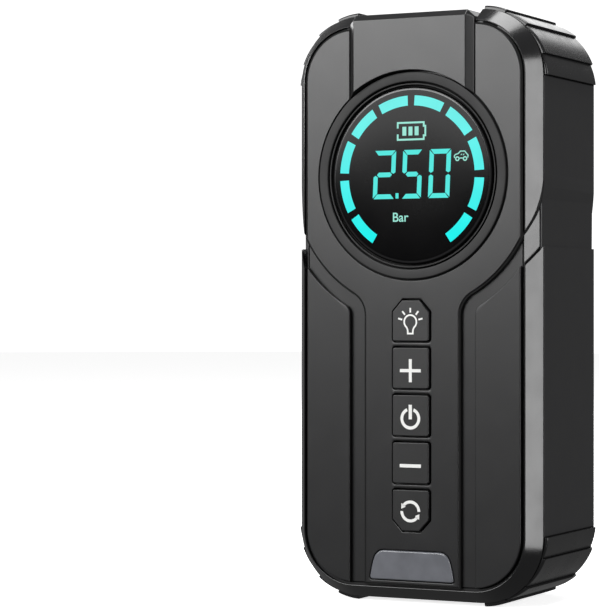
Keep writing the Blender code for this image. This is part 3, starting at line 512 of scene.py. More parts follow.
def moulded(name, colour, roughness, grain_mm, height, drift=0.12, spread=0.05):
    """Moulded plastic or rubber: fine grain, with slow drifts in colour and gloss."""
    finish = Finish(name, roughness)
    cloud = finish.noise(28.0, 3.0)
    finish.colour(finish.blend(cloud, tint(colour, 1 - drift), tint(colour, 1 + drift)))
    finish.gloss(finish.noise(9.0, 4.0), roughness - spread, roughness + spread)
    finish.bump(finish.noise(grain_mm, 3.0), height)
    return finish.material


def machined(name, colour, roughness, direction=(1, 1, 40), grain_mm=2.0, height=0.002):
    """Metal with fine tool marks across one axis."""
    finish = Finish(name, roughness, 1.0)
    marks = finish.noise(grain_mm, 3.0, finish.stretch(direction))
    finish.colour(finish.blend(marks, tint(colour, 0.86), tint(colour, 1.1)))
    finish.gloss(marks, roughness - 0.06, roughness + 0.1)
    finish.bump(marks, height * MM)
    return finish.material


def circuit_board():
    """Green solder mask over faint copper tracks, with gold pads."""
    finish = Finish("solder_mask", 0.35)
    tracks = finish.nodes.new("ShaderNodeTexBrick")
    tracks.inputs["Scale"].default_value = 1 / (2.4 * MM)
    tracks.inputs["Mortar Size"].default_value = 0.08
    tracks.inputs["Color1"].default_value = (0.012, 0.11, 0.05, 1)
    tracks.inputs["Color2"].default_value = (0.016, 0.14, 0.06, 1)
    tracks.inputs["Mortar"].default_value = (0.03, 0.22, 0.09, 1)
    finish.links.new(finish.place, tracks.inputs["Vector"])
    pads = finish.nodes.new("ShaderNodeTexVoronoi")
    pads.inputs["Scale"].default_value = 1 / (3.1 * MM)
    finish.links.new(finish.place, pads.inputs["Vector"])
    dots = finish.blend(pads.outputs["Distance"], (1, 1, 1), (0, 0, 0), 0.1, 0.13)
    mix = finish.nodes.new("ShaderNodeMix")
    mix.data_type = "RGBA"
    finish.links.new(dots, mix.inputs["Factor"])
    finish.links.new(tracks.outputs["Color"], mix.inputs["A"])
    mix.inputs["B"].default_value = (0.75, 0.55, 0.2, 1)
    finish.colour(mix.outputs["Result"])
    finish.bump(tracks.outputs["Fac"], 0.01 * MM)
    return finish.material


def crinkled_foil():
    """Laminate film of a pouch cell, softly creased."""
    finish = Finish("pouch_film", 0.34, 0.85)
    creases = finish.noise(11.0, 6.0)
    finish.colour(finish.blend(creases, (0.4, 0.41, 0.44), (0.62, 0.63, 0.66)))
    finish.gloss(creases, 0.25, 0.42)
    finish.bump(creases, 0.25 * MM, 0.6)
    return finish.material


def lit(name, colour, upper=None):
    """A lit area of the display, a little uneven as behind a light guide, and paler towards the top."""
    finish = Finish(name, 0.35)
    glow = finish.blend(finish.noise(7.0, 2.0), (0.93, 0.93, 0.93), (1, 1, 1))
    height = finish.nodes.new("ShaderNodeSeparateXYZ")
    finish.links.new(finish.place, height.inputs["Vector"])
    level = finish.nodes.new("ShaderNodeMapRange")
    level.inputs["From Min"].default_value = (DISPLAY_Z - PAINTED_HAZE_REACH) * MM
    level.inputs["From Max"].default_value = (DISPLAY_Z + PAINTED_HAZE_REACH) * MM
    finish.links.new(height.outputs["Z"], level.inputs["Value"])
    # Painted reflection: the glow turns paler towards the top of the display, standing in for the haze that
    # the glass reflects there.
    painted_haze = finish.blend(level.outputs["Result"], colour, upper or colour, 0.1, 0.95)
    mix = finish.nodes.new("ShaderNodeMix")
    mix.data_type = "RGBA"
    mix.blend_type = "MULTIPLY"
    mix.inputs["Factor"].default_value = 1.0
    finish.links.new(painted_haze, mix.inputs["A"])
    finish.links.new(glow, mix.inputs["B"])
    finish.links.new(mix.outputs["Result"], finish.shader.inputs["Emission Color"])
    finish.shader.inputs["Emission Strength"].default_value = look().glow_strength
    finish.shader.inputs["Base Color"].default_value = (*tint(colour, 0.05), 1)
    finish.shader.inputs["Specular IOR Level"].default_value = 0.05
    return finish.material


def frosted_lens():
    """Milky lamp lens with fine vertical flutes behind its face."""
    finish = Finish("frosted_lens", 0.3)
    haze = finish.noise(6.0, 3.0)
    finish.colour(finish.blend(haze, (0.115, 0.12, 0.135), (0.15, 0.155, 0.175)))
    flutes = finish.nodes.new("ShaderNodeTexWave")
    flutes.inputs["Scale"].default_value = 1 / (9.0 * MM)
    finish.links.new(finish.place, flutes.inputs["Vector"])
    finish.bump(flutes.outputs["Fac"], 0.01 * MM, 0.3)
    finish.shader.inputs["Coat Weight"].default_value = 0.6
    finish.shader.inputs["Coat Roughness"].default_value = 0.12
    return finish.material


def display_black():
    """Gloss black display cover with the faintest haze."""
    finish = Finish("display_black", 0.09)
    smear = finish.noise(14.0, 4.0)
    finish.colour(finish.blend(smear, (0.0018, 0.0018, 0.002), (0.003, 0.003, 0.0032)))
    finish.gloss(smear, 0.16, 0.18)
    finish.shader.inputs["Specular IOR Level"].default_value = 0.1
    return finish.material


def mirror_film():
    """Vacuum plated reflector with slight waviness."""
    finish = Finish("mirror_film", 0.1, 1.0)
    wave = finish.noise(5.0, 2.0)
    finish.colour(finish.blend(wave, (0.72, 0.73, 0.75), (0.86, 0.87, 0.88)))
    finish.bump(wave, 0.02 * MM)
    return finish.material


def make_materials():
    """One material for each slot of the record, and those of the visible pieces."""
    style = look()
    grain = style.grain_height
    panel = style.panel_colour
    made = {
        "case_black": moulded("case_grain", style.case_colour, 0.42, 0.55, grain * 1.2, 0.04, 0.015),
        "panel_black": moulded("panel_satin", panel, 0.32, 0.3, grain * 0.3, 0.05, 0.012),
        "rim_black": moulded("polished_rim", style.rim_colour, 0.2, 0.5, grain * 0.08, 0.1, 0.03),
        "bumper_rubber": moulded("bumper_rubber", style.bumper_colour, 0.26, 0.4, grain * 0.3, 0.1, 0.04),
        "bezel_grey": moulded("bezel_ring", tint(panel, 0.3), 0.56, 0.35, grain * 0.4, 0.05, 0.02),
        "display_glass": display_black(),
        "button_rubber": moulded("button_rubber", tint(panel, 0.8), 0.36, 0.25, grain * 0.5, 0.06, 0.02),
        "lamp_lens": frosted_lens(),
        "mirror_plate": mirror_film(),
        "circuit_green": circuit_board(),
        "steel": machined("zinc_steel", (0.55, 0.56, 0.58), 0.32),
        "brass": machined("turned_brass", (0.72, 0.52, 0.2), 0.26, (1, 1, 30)),
        "copper_gold": machined("gold_plate", (0.83, 0.6, 0.26), 0.22, (30, 1, 1)),
        "cell_pouch": crinkled_foil(),
        "socket_blue": moulded("socket_blue", (0.02, 0.13, 0.5), 0.4, 0.3, grain),
        "gear_nylon": moulded("natural_nylon", (0.62, 0.6, 0.54), 0.46, 0.4, grain),
        "cast_alloy": machined("cast_alloy", (0.46, 0.47, 0.49), 0.46, (1, 1, 1), 0.6, 0.03),
        "lead_red": moulded("red_sleeve", (0.5, 0.02, 0.015), 0.45, 0.5, grain),
        "lead_black": moulded("black_sleeve", (0.012, 0.012, 0.012), 0.5, 0.5, grain),
        "seal_rubber": moulded("seal_rubber", (0.012, 0.012, 0.013), 0.62, 0.4, grain),
        "inner_plastic": moulded("inner_plastic", (0.055, 0.055, 0.058), 0.5, 0.5, grain),
        "symbols": moulded("printed_white", style.symbol_colour, 0.55, 0.2, grain * 0.5, 0.03),
        # The paler second colour is the painted reflection at the top of the ring.
        "ring_glow": lit("ring_glow", style.glow_colour, (0.17, 0.86, 0.81)),
        "digit_glow": lit("digit_glow", (0.09, 0.8, 0.73)),
        "mint_glow": lit("mint_glow", (0.33, 0.78, 0.66)),
        # Flat near-black matte finish laid in grooves and gaps: painted shade, darker than the lights alone
        # would make them.
        "painted_shadow_gap": moulded("painted_shadow_gap", (0.0015, 0.0015, 0.0015), 0.9, 0.4, grain, 0.05, 0.05),
    }
    for node, obj in frame["nodes"].items():
        slot = next(p["material_slot"] for p in frame["record"]["subparts"] if p["node"] == node)
        obj.data.materials.clear()
        obj.data.materials.append(made[slot])
    return made


FINISHES = {}


# ---------------------------------------------------------------- case
def channel_bands():
    """Cutters for the channel where it crosses the rim, the sides and the back chamfer."""
    reach = HALF_WIDTH + 3
    outline = arc(0, DISPLAY_Z, HALF_WIDTH, 0, -math.degrees(math.acos(CHANNEL_START_X / HALF_WIDTH)), 28)
    start, end = (-math.degrees(math.acos(x / GUARD_RIM_RADIUS)) for x in (CHANNEL_START_X, HALF_WIDTH))
    outline += arc(0, DISPLAY_Z, GUARD_RIM_RADIUS, start, end, 16)
    outline += [(reach, outline[-1][1]), (reach, DISPLAY_Z)]
    bands = []
    for side in (-1, 1):
        core = stack([(case_outline(GROOVE_INSET + CHANNEL_DEPTH), FACE - 1),
                      (case_outline(GROOVE_INSET + CHANNEL_DEPTH), FACE + 1.2),
                      (case_outline(CHANNEL_DEPTH), SEAM + 0.7),
                      (case_outline(CHANNEL_DEPTH), SIDE_END + 0.6),
                      (case_outline(BACK_INSET + CHANNEL_DEPTH), BACK + 1)])
        bands.append(carve(prism(flipped(outline, side), FACE - 2, BACK + 2), [core]))
    return bands


def bridge_notch():
    """Cutter for the place where the bridge folds over the top."""
    half = BRIDGE_BASE + 0.3
    return block((-half, FACE - 5, BRIDGE[1].z - 4.0), (half, SIDE_END + 0.3, BRIDGE[1].z + 5))


def cylinder(radius, low, high, axis, centre, steps=48):
    """A round bar along an axis letter, between two heights."""
    return turned([(0, low), (radius, low), (radius, high), (0, high)], axis, centre, steps, False)


def button_box(name):
    """Middle height and half width of a button's cap."""
    low, high = node_box(name + "_button")
    return (low.z + high.z) / 2, high.x - 1.0


def button_outline(name, grow=0.0):
    """A near-square cap with small round corners. The end caps have their outer corners cut off."""
    z, half = button_box(name)
    half += grow
    tall = half + 0.15
    square = rounded_rect(half, tall, 0.8 + grow, 0, z, 5)
    ends = {"light": 1, "mode": -1}
    if name not in ends:
        return square
    sign = ends[name]
    cut_x, cut_z = 3.2 + grow * 0.4, 3.0 + grow * 0.4
    kept = [p for p in square if sign * (p[1] - z) < 0]
    cut = [(half, z + sign * cut_z), (cut_x, z + sign * tall), (-cut_x, z + sign * tall),
           (-half, z + sign * cut_z)]
    return cut + kept if sign > 0 else kept[:12] + cut[::-1]


def lamp_outline(grow=0.0):
    """The lamp window: flat foot, leaning sides and well-rounded shoulders."""
    foot = LAMP[0].z
    half = [(14.9, foot), (15.45, foot + 0.35), (15.6, foot + 0.9), (15.1, foot + 3.6), (14.4, foot + 6.4)]
    half += arc(10.3, foot + 5.9, 4.0, 22, 90, 10)
    half = [(x, z) if z < foot + 9.9 else (x, foot + 9.9) for x, z in half]
    cz = foot + 5
    grown = [(x * (1 + grow / 15.6), cz + (z - cz) * (1 + grow / 5)) for x, z in half]
    return grown + [(-x, z) for x, z in reversed(grown)]


def make_front_frame():
    """The polished rim, the deck behind the panel and the channel floor."""
    bm = prism(case_outline(0), SEAM, SEAM - 0.25)
    front = facing(bm, (0, -1, 0))
    slope = (SEAM - 0.5 - FACE - RIM_DROP - 0.12) / (GROOVE_INSET - 0.5)
    run = GROOVE_INSET - 0.5
    step_in(bm, front, [(0.1, 0.25), (run, slope * run), (0.2, 0.12), (0.2, 0.0), (0.03, -0.25),
                        (0.01, -(DECK - FACE - RIM_DROP - 0.25))])
    back = facing(bm, (0, 1, 0))
    step_in(bm, back, [(WALL + 0.3, 0.0), (0.01, 3.0), (1.5, 0.0), (0.01, DECK_BACK - SEAM - 3.0)])
    tidy(bm)
    line = carve(prism(case_outline(GROOVE_INSET + 0.75), DECK - 1, DECK + 0.6),
                 [prism(case_outline(GROOVE_INSET + 1.25), DECK - 2, DECK + 2)])
    seat = cylinder(DISPLAY_SEAT, FACE - 2, DECK_BACK + 2, "Y", (0, 0, DISPLAY_Z), 96)
    cutters = [line, *channel_bands(), bridge_notch(), seat]
    for name in BUTTONS:
        cutters.append(prism(button_outline(name, BUTTON_GAP), DECK - 1, DECK_BACK + 1))
    bm = carve(bm, cutters)
    soften(bm, 0.14, where=lambda p: p.y < FACE + 1.4 or SEAM - 2.4 < p.y < SEAM + 0.1)
    shell = settle("front_shell", bm, FINISHES["rim_black"], replaced=["front_frame"])
    shell.data.materials.append(FINISHES["panel_black"])
    shell.data.materials.append(FINISHES["painted_shadow_gap"])
    corner = CORNER - PANEL_INSET
    for face in shell.data.polygons:
        spot = face.center / MM
        over = Vector((max(0, abs(spot.x) - CORNER_X), max(0, abs(spot.z - MID_Z) - CORNER_Z)))
        if over.length < corner - 0.05 and spot.y < DECK + 0.1 and face.normal.y < -0.5:
            face.material_index = 1
        # Faces deep in the groove round the panel take the flat black finish: painted shade in the groove.
        elif over.length < CORNER - GROOVE_INSET + 0.12 and spot.y > FACE + RIM_DROP + 0.3:
            face.material_index = 2


def bumper_seat(sx, sz):
    """Pocket in the rear case for a corner bumper, with a clearance all round."""
    radius = CORNER - 0.9
    low = MID_Z + CORNER_Z - 0.3
    end_x = BUMPER[0].x - 0.5
    out_x, out_z = HALF_WIDTH + 4, MID_Z + HALF_HEIGHT + 4
    points = [(out_x, low), (out_x, out_z), (end_x, out_z)]
    end = math.degrees(math.acos((end_x - CORNER_X) / radius))
    points += arc(CORNER_X, MID_Z + CORNER_Z, radius, end, 0, CORNER_STEPS)
    points.append((CORNER_X + radius, low))
    outline = flipped(points, sx, sz)
    return prism(outline, SEAM - 1, SIDE_END + 0.3)


CORNERS = {"top_right": (1, 1), "top_left": (-1, 1), "bottom_right": (1, -1), "bottom_left": (-1, -1)}


def make_rear_case():
    """The rear shell: sides, chamfered back with its vents, screw wells and port opening."""
    bm = stack([(case_outline(0.12), SEAM + 0.3), (case_outline(0), SEAM + 0.5), (case_outline(0), SIDE_END)])
    back = facing(bm, (0, 1, 0))
    rise = BACK - SIDE_END
    step_in(bm, back, [(0.3, 0.75), (BACK_INSET - 1.0, rise - 1.25), (0.7, 0.4), (0.6, 0.1)])
    front = facing(bm, (0, -1, 0))
    step_in(bm, front, [(WALL, 0.0), (0.01, -(SIDE_END - SEAM - 1.3)), (BACK_INSET + 0.2, -(rise - WALL))])
    tidy(bm)
    cutters = channel_bands() + [bridge_notch()]
    cutters += [bumper_seat(*signs) for signs in CORNERS.values()]
    for name in CORNERS:
        low, high = node_box("case_screw_" + name)
        centre = ((low.x + high.x) / 2, 0, (low.z + high.z) / 2)
        well = [(0, BACK - 5), (3.3, BACK - 5), (3.3, BACK - 0.5), (3.9, BACK + 0.1), (3.9, BACK + 1),
                (0, BACK + 1)]
        cutters.append(turned(well, "Y", centre, 32, False))
    outline = rounded_rect((COVER[1].y - COVER[0].y) / 2 + 1.1, (COVER[1].z - COVER[0].z) / 2 + 0.3, 1.4,
                           (COVER[0].y + COVER[1].y) / 2 + 0.8, (COVER[0].z + COVER[1].z) / 2, 6)
    cutters.append(prism(outline, -HALF_WIDTH - 2, -HALF_WIDTH + WALL + 1, "YZ"))
    for row in range(VENT_ROWS):
        for side in (-1, 1):
            slot = rounded_rect(VENT_HALF_LENGTH, 0.85, 0.8, side * VENT_X, VENT_Z + VENT_PITCH * row, 4)
            cutters.append(prism(slot, BACK - 5, BACK + 1))
    outer, inner = (rounded_rect(BACK_LINE.x - d, BACK_LINE.y - d, 12.0 - d, 0, MID_Z, 12) for d in (0, 0.6))
    cutters.append(carve(prism(outer, BACK - 0.35, BACK + 1), [prism(inner, BACK - 2, BACK + 2)]))
    for row in range(GRIP_ROWS):
        slot = rounded_rect(GRIP_HALF_LENGTH, 1.1, 1.0, 0, GRIP_Z + GRIP_PITCH * row, 4)
        cutters.append(prism(slot, BACK - 0.5, BACK + 1))
    bm = carve(bm, cutters)
    soften(bm, 0.16)
    settle("rear_shell", bm, FINISHES["case_black"], replaced=["rear_case"])


def panel_outline():
    """The upper panel, open round the display and notched for the bridge, with the button strip below."""
    half = PANEL[1].x
    corner = CORNER - PANEL_INSET
    bottom, top = PANEL[0].z, 2 * MID_Z - PANEL[0].z
    fx = STRIP_HALF_WIDTH + STRIP_FILLET
    fz = DISPLAY_Z - math.sqrt((UPPER_RADIUS + STRIP_FILLET) ** 2 - fx * fx)
    edge_z = DISPLAY_Z - math.sqrt(UPPER_RADIUS ** 2 - half * half)
    notch = BRIDGE_BASE + 0.3
    right = [(STRIP_HALF_WIDTH, bottom)]
    right += arc(fx, fz, STRIP_FILLET, 180, math.degrees(math.atan2(DISPLAY_Z - fz, -fx)), 14)
    right += arc(0, DISPLAY_Z, UPPER_RADIUS, math.degrees(math.atan2(fz - DISPLAY_Z, fx)),
                 math.degrees(math.atan2(edge_z - DISPLAY_Z, half)), 20)[1:]
    end = math.degrees(math.acos((notch - half + corner) / corner))
    right += arc(half - corner, top - corner, corner, 0, end, CORNER_STEPS)
    right += arc(0, DISPLAY_Z, BEZEL_HOLE, math.degrees(math.acos(notch / BEZEL_HOLE)), -90, 48)
    return right + [(-x, z) for x, z in reversed(right[:-1])]


def make_front_panel():
    """The panel with its holes for the buttons and lamp, and the dark seal round its border."""
    edge = shape().edge_round / MM
    holes = [button_outline(name, 0.5) for name in BUTTONS] + [lamp_outline(0.3)]
    bm = plate([panel_outline()] + holes, FACE, PANEL[1].y, edge)
    settle("front_panel_cover", bm, FINISHES["panel_black"], replaced=["front_panel"])
    # A flat-black strip just behind the panel's edge, grown wider than it: painted shade along the gap round
    # the panel.
    quads = ribbon(panel_outline(), 1.1, True)
    shade_strip = plate([[q[0] for q in quads], [q[3] for q in quads]], FACE + 0.4, DECK + 0.05, 0.05)
    settle("panel_shade_strip", shade_strip, FINISHES["painted_shadow_gap"])


def make_guards():
    """The two guard plates beside the buttons."""
    half = GUARD[1].x
    corner = CORNER - PANEL_INSET
    bottom = PANEL[0].z
    inner = math.degrees(math.acos((GUARD_HALF_GAP + 2.2) / GUARD_RADIUS))
    outline = arc(0, DISPLAY_Z, GUARD_RADIUS, -inner, -math.degrees(math.acos(half / GUARD_RADIUS)), 16)
    end = math.degrees(math.acos((GUARD_HALF_GAP - half + corner) / corner))
    outline += arc(half - corner, bottom + corner, corner, 0, -end, CORNER_STEPS)
    bend_z = outline[0][1]
    outline += [(GUARD_HALF_GAP, bend_z - 3.0), (GUARD_HALF_GAP + 0.35, bend_z - 1.7),
                (GUARD_HALF_GAP + 1.1, bend_z - 0.7)]
    for name, side in (("left", -1), ("right", 1)):
        bm = plate([flipped(outline, side)], FACE, PANEL[1].y, shape().edge_round / MM)
        settle(name + "_guard", bm, FINISHES["panel_black"], replaced=[name + "_guard_plate"])


def make_bridge():
    """The raised band that folds over the top, with sloping flanks all along."""
    low, high = BRIDGE
    profile = [(low.y, low.z), (PANEL[1].y, low.z), (PANEL[1].y, high.z - 3.7), (high.y, high.z - 3.7),
               (high.y, high.z), (low.y, high.z)]
    bm = prism(profile, -BRIDGE_BASE, BRIDGE_BASE, "YZ")
    bm.normal_update()

    def edge_at(test):
        """Edges with both ends where a test of a point holds."""
        return [e for e in bm.edges if all(test(v.co) for v in e.verts)]

    near = 0.01
    ridge = edge_at(lambda p: p.y < low.y + near and p.z > high.z - near)
    tail = edge_at(lambda p: p.y > high.y - near and p.z > high.z - near)
    bmesh.ops.bevel(bm, geom=ridge + tail, offset=BRIDGE_BEVEL, offset_type="OFFSET", segments=1, profile=0.5,
                    affect="EDGES", material=-1)
    flank = [e for e in bm.edges if e.calc_length() > 0.5 and abs(e.verts[0].co.x - e.verts[1].co.x) < near
             and all(v.co.y < low.y + near or v.co.z > high.z - BRIDGE_BEVEL - near for v in e.verts)
             and not all(v.co.y > high.y - near for v in e.verts)]
    bmesh.ops.bevel(bm, geom=flank, offset=BRIDGE_RISE, offset_type="OFFSET", segments=1, profile=0.5,
                    affect="EDGES", material=-1)
    tidy(bm)
    bm = carve(bm, [cylinder(BEZEL_HOLE, FACE - 6, DECK, "Y", (0, 0, DISPLAY_Z), 128),
                    cylinder(6.8, high.z - 6, high.z + 2, "Z", (0, (OUTLET[0].y + OUTLET[1].y) / 2, 0), 64)])
    soften(bm, 0.2)
    settle("bridge_cover", bm, FINISHES["panel_black"], replaced=["top_bridge"])


def bumper_outline(shrink=0.0):
    """Overlapping segments round the top right corner: each one swells towards its lower end."""
    radius = CORNER + CASE[0].z
    step = shape().bumper_step / MM
    breaks = (0.0, 17.5, 46.0, 68.0, 87.4)
    cx, cz = CORNER_X, MID_Z + CORNER_Z
    points = []
    for i, (a, b) in enumerate(zip(breaks, breaks[1:])):
        count = 8
        for k in range(count + 1):
            share = k / count
            rise = radius - shrink - (0.0 if i == 3 else step * share)
            angle = math.radians(a + (b - a) * share)
            points.append((cx + rise * math.cos(angle), cz + rise * math.sin(angle)))
        if i < 3:
            angle = math.radians(b + 0.4)
            points.append((cx + (radius - shrink - step * 1.5) * math.cos(angle),
                           cz + (radius - shrink - step * 1.5) * math.sin(angle)))
    end_x = BUMPER[0].x
    inner = CORNER - 0.6
    points.append((end_x, cz + radius - 1.2 - shrink))
    points += arc(cx, cz, inner, math.degrees(math.acos((end_x - cx) / inner)), 0, CORNER_STEPS)
    return points


def make_bumpers():
    """The four ribbed corner bumpers, with soft edges front and back."""
    y0, y1 = SEAM + 0.4, SIDE_END
    depths = [(0.7, y0), (0.25, y0 + 0.3), (0.05, y0 + 0.65), (0.0, y0 + 1.0),
              (0.0, y1 - 1.6), (0.08, y1 - 1.3), (0.5, y1 - 0.7), (1.05, y1)]
    for name, (sx, sz) in CORNERS.items():
        bm = stack([(flipped(bumper_outline(shrink), sx, sz), y) for shrink, y in depths])
        soften(bm, 0.1, 40.0)
        settle("corner_" + name, bm, FINISHES["bumper_rubber"], replaced=["bumper_" + name])


# ---------------------------------------------------------------- display
def dome(radius):
    """How far the display cover falls back at a radius from its middle."""
    return DOME_DROP * (radius / LENS[1].x) ** DOME_POWER


def make_display():
    """Bezel ring and domed-edge display cover."""
    at = (0, 0, DISPLAY_Z)
    front = BEZEL[0].y
    outer = BEZEL[1].x
    ring = [(outer, FACE + 1.5), (outer, front + 0.45), (outer - 0.13, front + 0.13), (outer - 0.45, front),
            (32.15, front + 0.06), (31.85, front + 0.16),
            (BEZEL_STEP, front + 0.45), (BEZEL_STEP, FACE + 1.1),
            (31.2, FACE + 1.1), (31.15, front + 0.6), (31.05, front + 0.5), (30.75, front + 0.5),
            (30.65, front + 0.6), (30.6, FACE + 1.1), (28.0, FACE + 1.1), (28.0, FACE + 1.5)]
    bezel = settle("bezel_ring", turned(ring, "Y", at, 160), FINISHES["bezel_grey"],
                   replaced=["display_bezel"])
    bezel.data.materials.append(FINISHES["painted_shadow_gap"])
    # Faces deep inside the bezel's step take the flat black finish: painted shade in the gap round the cover.
    for face in bezel.data.polygons:
        spot = face.center / MM
        if math.hypot(spot.x, spot.z - DISPLAY_Z) < BEZEL_STEP + 0.1 and spot.y > front + 0.62:
            face.material_index = 1
    edge = LENS[1].x
    profile = [(r, LENS[0].y + dome(r)) for r in (0, 6, 10, 13, 16, 18, 20, 22, 23.5, 25, 26.5, 28, BROW)]
    brow = LENS[0].y + dome(BROW)
    profile += [(29.5, brow + 0.14), (29.8, brow + 0.32), (edge, brow + 0.6),
                (edge, LENS[1].y), (0, LENS[1].y)]
    cover = settle("display_cover", turned(profile, "Y", at, 160, False), FINISHES["display_glass"],
                   replaced=["display_lens"])
    cover.data.materials.append(FINISHES["rim_black"])
    for face in cover.data.polygons:
        spot = face.center / MM
        if BROW < math.hypot(spot.x, spot.z - DISPLAY_Z) < 29.6 and spot.y < brow + 0.3:
            face.material_index = 1


def printed(outlines, y, material, name, body="pack", domed=False):
    """Thin flat shapes standing a hair's breadth above a front surface, or following the domed cover."""
    height = shape().print_height / MM
    whole = joined(*[prism(outline, y + 0.04, y - height) for outline in outlines])
    if domed:
        follow_dome(whole)
    return settle(name, whole, material, body, weighted=False)


def follow_dome(bm):
    """Moves a flat drawing back onto the domed cover."""
    for vert in bm.verts:
        vert.co.y += dome(math.hypot(vert.co.x, vert.co.z - DISPLAY_Z))


def ribbon(points, width, closed=False):
    """Outline pieces of a drawn line: one quad for each stretch, with mitred joints."""
    count = len(points)
    sides = []
    for i, point in enumerate(points):
        before = points[i - 1] if i or closed else None
        after = points[(i + 1) % count] if i < count - 1 or closed else None
        directions = []
        for a, b in ((before, point), (point, after)):
            if a is not None and b is not None:
                d = Vector((b[0] - a[0], b[1] - a[1])).normalized()
                directions.append(Vector((-d.y, d.x)))
        normal = sum(directions, Vector((0, 0))).normalized()
        reach = width / 2 / max(0.4, normal.dot(directions[0]))
        sides.append((Vector(point) + normal * reach, Vector(point) - normal * reach))
    spans = count if closed else count - 1
    return [[tuple(sides[i][0]), tuple(sides[(i + 1) % count][0]), tuple(sides[(i + 1) % count][1]),
             tuple(sides[i][1])] for i in range(spans)]


def stroke(points, width, closed=False):
    """A drawn line as one outline, or two for a closed one."""
    quads = ribbon(points, width, closed)
    if closed:
        return quads
    left = [q[0] for q in quads] + [quads[-1][1]]
    right = [q[3] for q in quads] + [quads[-1][2]]
    return [left + right[::-1]]


def sector(inner, outer, start, end, cx=0.0, cz=0.0, steps=12):
    """A piece of a ring between two radii and two angles."""
    return arc(cx, cz, outer, start, end, steps) + arc(cx, cz, inner, end, start, steps)


def digit(segments, x, z, width, height, thick=1.6, gap=0.28, lean=0.045):
    """Seven-segment figure: the outlines of the segments that are lit."""
    half, mid, t = width / 2, height / 2, thick

    def leaned(points):
        """Points leaned to the right and moved to the figure's place."""
        return [(x + px + lean * pz, z + pz) for px, pz in points]

    bar = [(-half + gap, mid), (half - gap, mid), (half - t, mid - t), (-half + t, mid - t)]
    post = [(half, mid - gap), (half, t * 0.5), (half - t * 0.45, gap), (half - t, t * 0.5),
            (half - t, mid - t - gap)]
    centre = [(-half + t * 0.8, 0), (-half + t * 1.25, t / 2), (half - t * 1.25, t / 2), (half - t * 0.8, 0),
              (half - t * 1.25, -t / 2), (-half + t * 1.25, -t / 2)]
    shapes = {
        "a": bar, "d": [(px, -pz) for px, pz in bar], "b": post, "c": [(px, -pz) for px, pz in post],
        "f": [(-px, pz) for px, pz in post], "e": [(-px, -pz) for px, pz in post], "g": centre,
    }
    return [leaned(shapes[s]) for s in segments]


def make_gauge():
    """Everything lit on the display: ring, figures, battery, car and unit."""
    y = LENS[0].y
    trim = math.degrees(shape().segment_gap / MM / (RING_INNER + RING_OUTER))
    ring = []
    for i in range(-5, 5):
        start = 90 - RING_STEP * i
        ring.append(sector(RING_INNER, RING_OUTER, start - trim, start - RING_STEP + trim, 0, DISPLAY_Z))
    printed(ring, y, FINISHES["ring_glow"], "gauge_ring", domed=True)

    z = DISPLAY_Z + 0.4
    figures = []
    for segments, x, width in (("abged", -9.9, 8.2), ("afgcd", 0.5, 7.3), ("abcdef", 10.75, 7.9)):
        figures += digit(segments, x, z, width, FIGURE_HEIGHT)
    figures.append([(-5.7, z - 8.1), (-4.6, z - 8.1), (-4.6, z - 6.3), (-5.7, z - 6.3)])
    printed(figures, y, FINISHES["digit_glow"], "gauge_figures", domed=True)

    top = DISPLAY_Z + 14.95
    case = [(-4.9, top - 1.0), (-4.9, top - 2.85), (4.85, top - 2.85), (4.85, top - 1.6), (5.45, top - 1.6),
            (5.45, top + 1.6), (4.85, top + 1.6), (4.85, top + 2.85), (-4.9, top + 2.85), (-4.9, top + 1.0)]
    battery = stroke(case, 0.62)
    for x in (-2.4, -0.1, 2.2):
        battery.append(bar(1.44, 3.0, x, top))
    cx, cz = 18.7, DISPLAY_Z + 6.3
    body = [(cx - 2.4, cz - 0.9), (cx - 2.5, cz - 0.2), (cx - 2.1, cz + 0.3), (cx - 1.1, cz + 0.55),
            (cx - 0.3, cz + 1.35), (cx + 1.3, cz + 1.35), (cx + 2.0, cz + 0.5), (cx + 2.5, cz),
            (cx + 2.4, cz - 0.9)]
    battery += ribbon(body, 0.36)
    for x in (cx - 1.4, cx + 1.4):
        battery += ribbon(arc(x, cz - 1.15, 0.6, 0, 340, 17), 0.4, True)
    battery += stroke([(cx - 0.55, cz - 0.95), (cx + 0.55, cz - 0.95)], 0.34)
    battery += stroke([(cx - 0.1, cz), (cx + 0.3, cz + 0.45)], 0.24)
    battery += stroke([(cx + 0.7, cz), (cx + 1.1, cz + 0.45)], 0.24)
    printed(battery, y, FINISHES["mint_glow"], "gauge_symbols", domed=True)
    make_unit(y)


def make_unit(y):
    """The pressure unit below the figures."""
    curve = bpy.data.curves.new("unit", "FONT")
    curve.body = "Bar"
    curve.size = 4.4
    curve.extrude = 0.03
    curve.offset = 0.03
    curve.resolution_u = 6
    text = bpy.data.objects.new("unit", curve)
    bpy.context.scene.collection.objects.link(text)
    bpy.context.view_layer.update()
    mesh = bpy.data.meshes.new_from_object(text.evaluated_get(bpy.context.evaluated_depsgraph_get()))
    bm = bmesh.new()
    bm.from_mesh(mesh)
    bpy.data.objects.remove(text)
    bpy.data.curves.remove(curve)
    bpy.data.meshes.remove(mesh)
    bmesh.ops.rotate(bm, verts=bm.verts, matrix=Matrix.Rotation(math.pi / 2, 3, "X"))
    low = Vector([min(v.co[i] for v in bm.verts) for i in range(3)])
    place = Vector((-6.7, y - 0.02, DISPLAY_Z - 15.6))
    bmesh.ops.translate(bm, verts=bm.verts, vec=place - Vector((low.x, 0, low.z)))
    tidy(bm, 0.001)
    follow_dome(bm)
    settle("gauge_unit", bm, FINISHES["mint_glow"], weighted=False)


# ---------------------------------------------------------------- buttons and lamp
def bar(width, height, x, z):
    """An upright rectangle of a width and height round a middle."""
    return [(x - width / 2, z - height / 2), (x + width / 2, z - height / 2), (x + width / 2, z + height / 2),
            (x - width / 2, z + height / 2)]


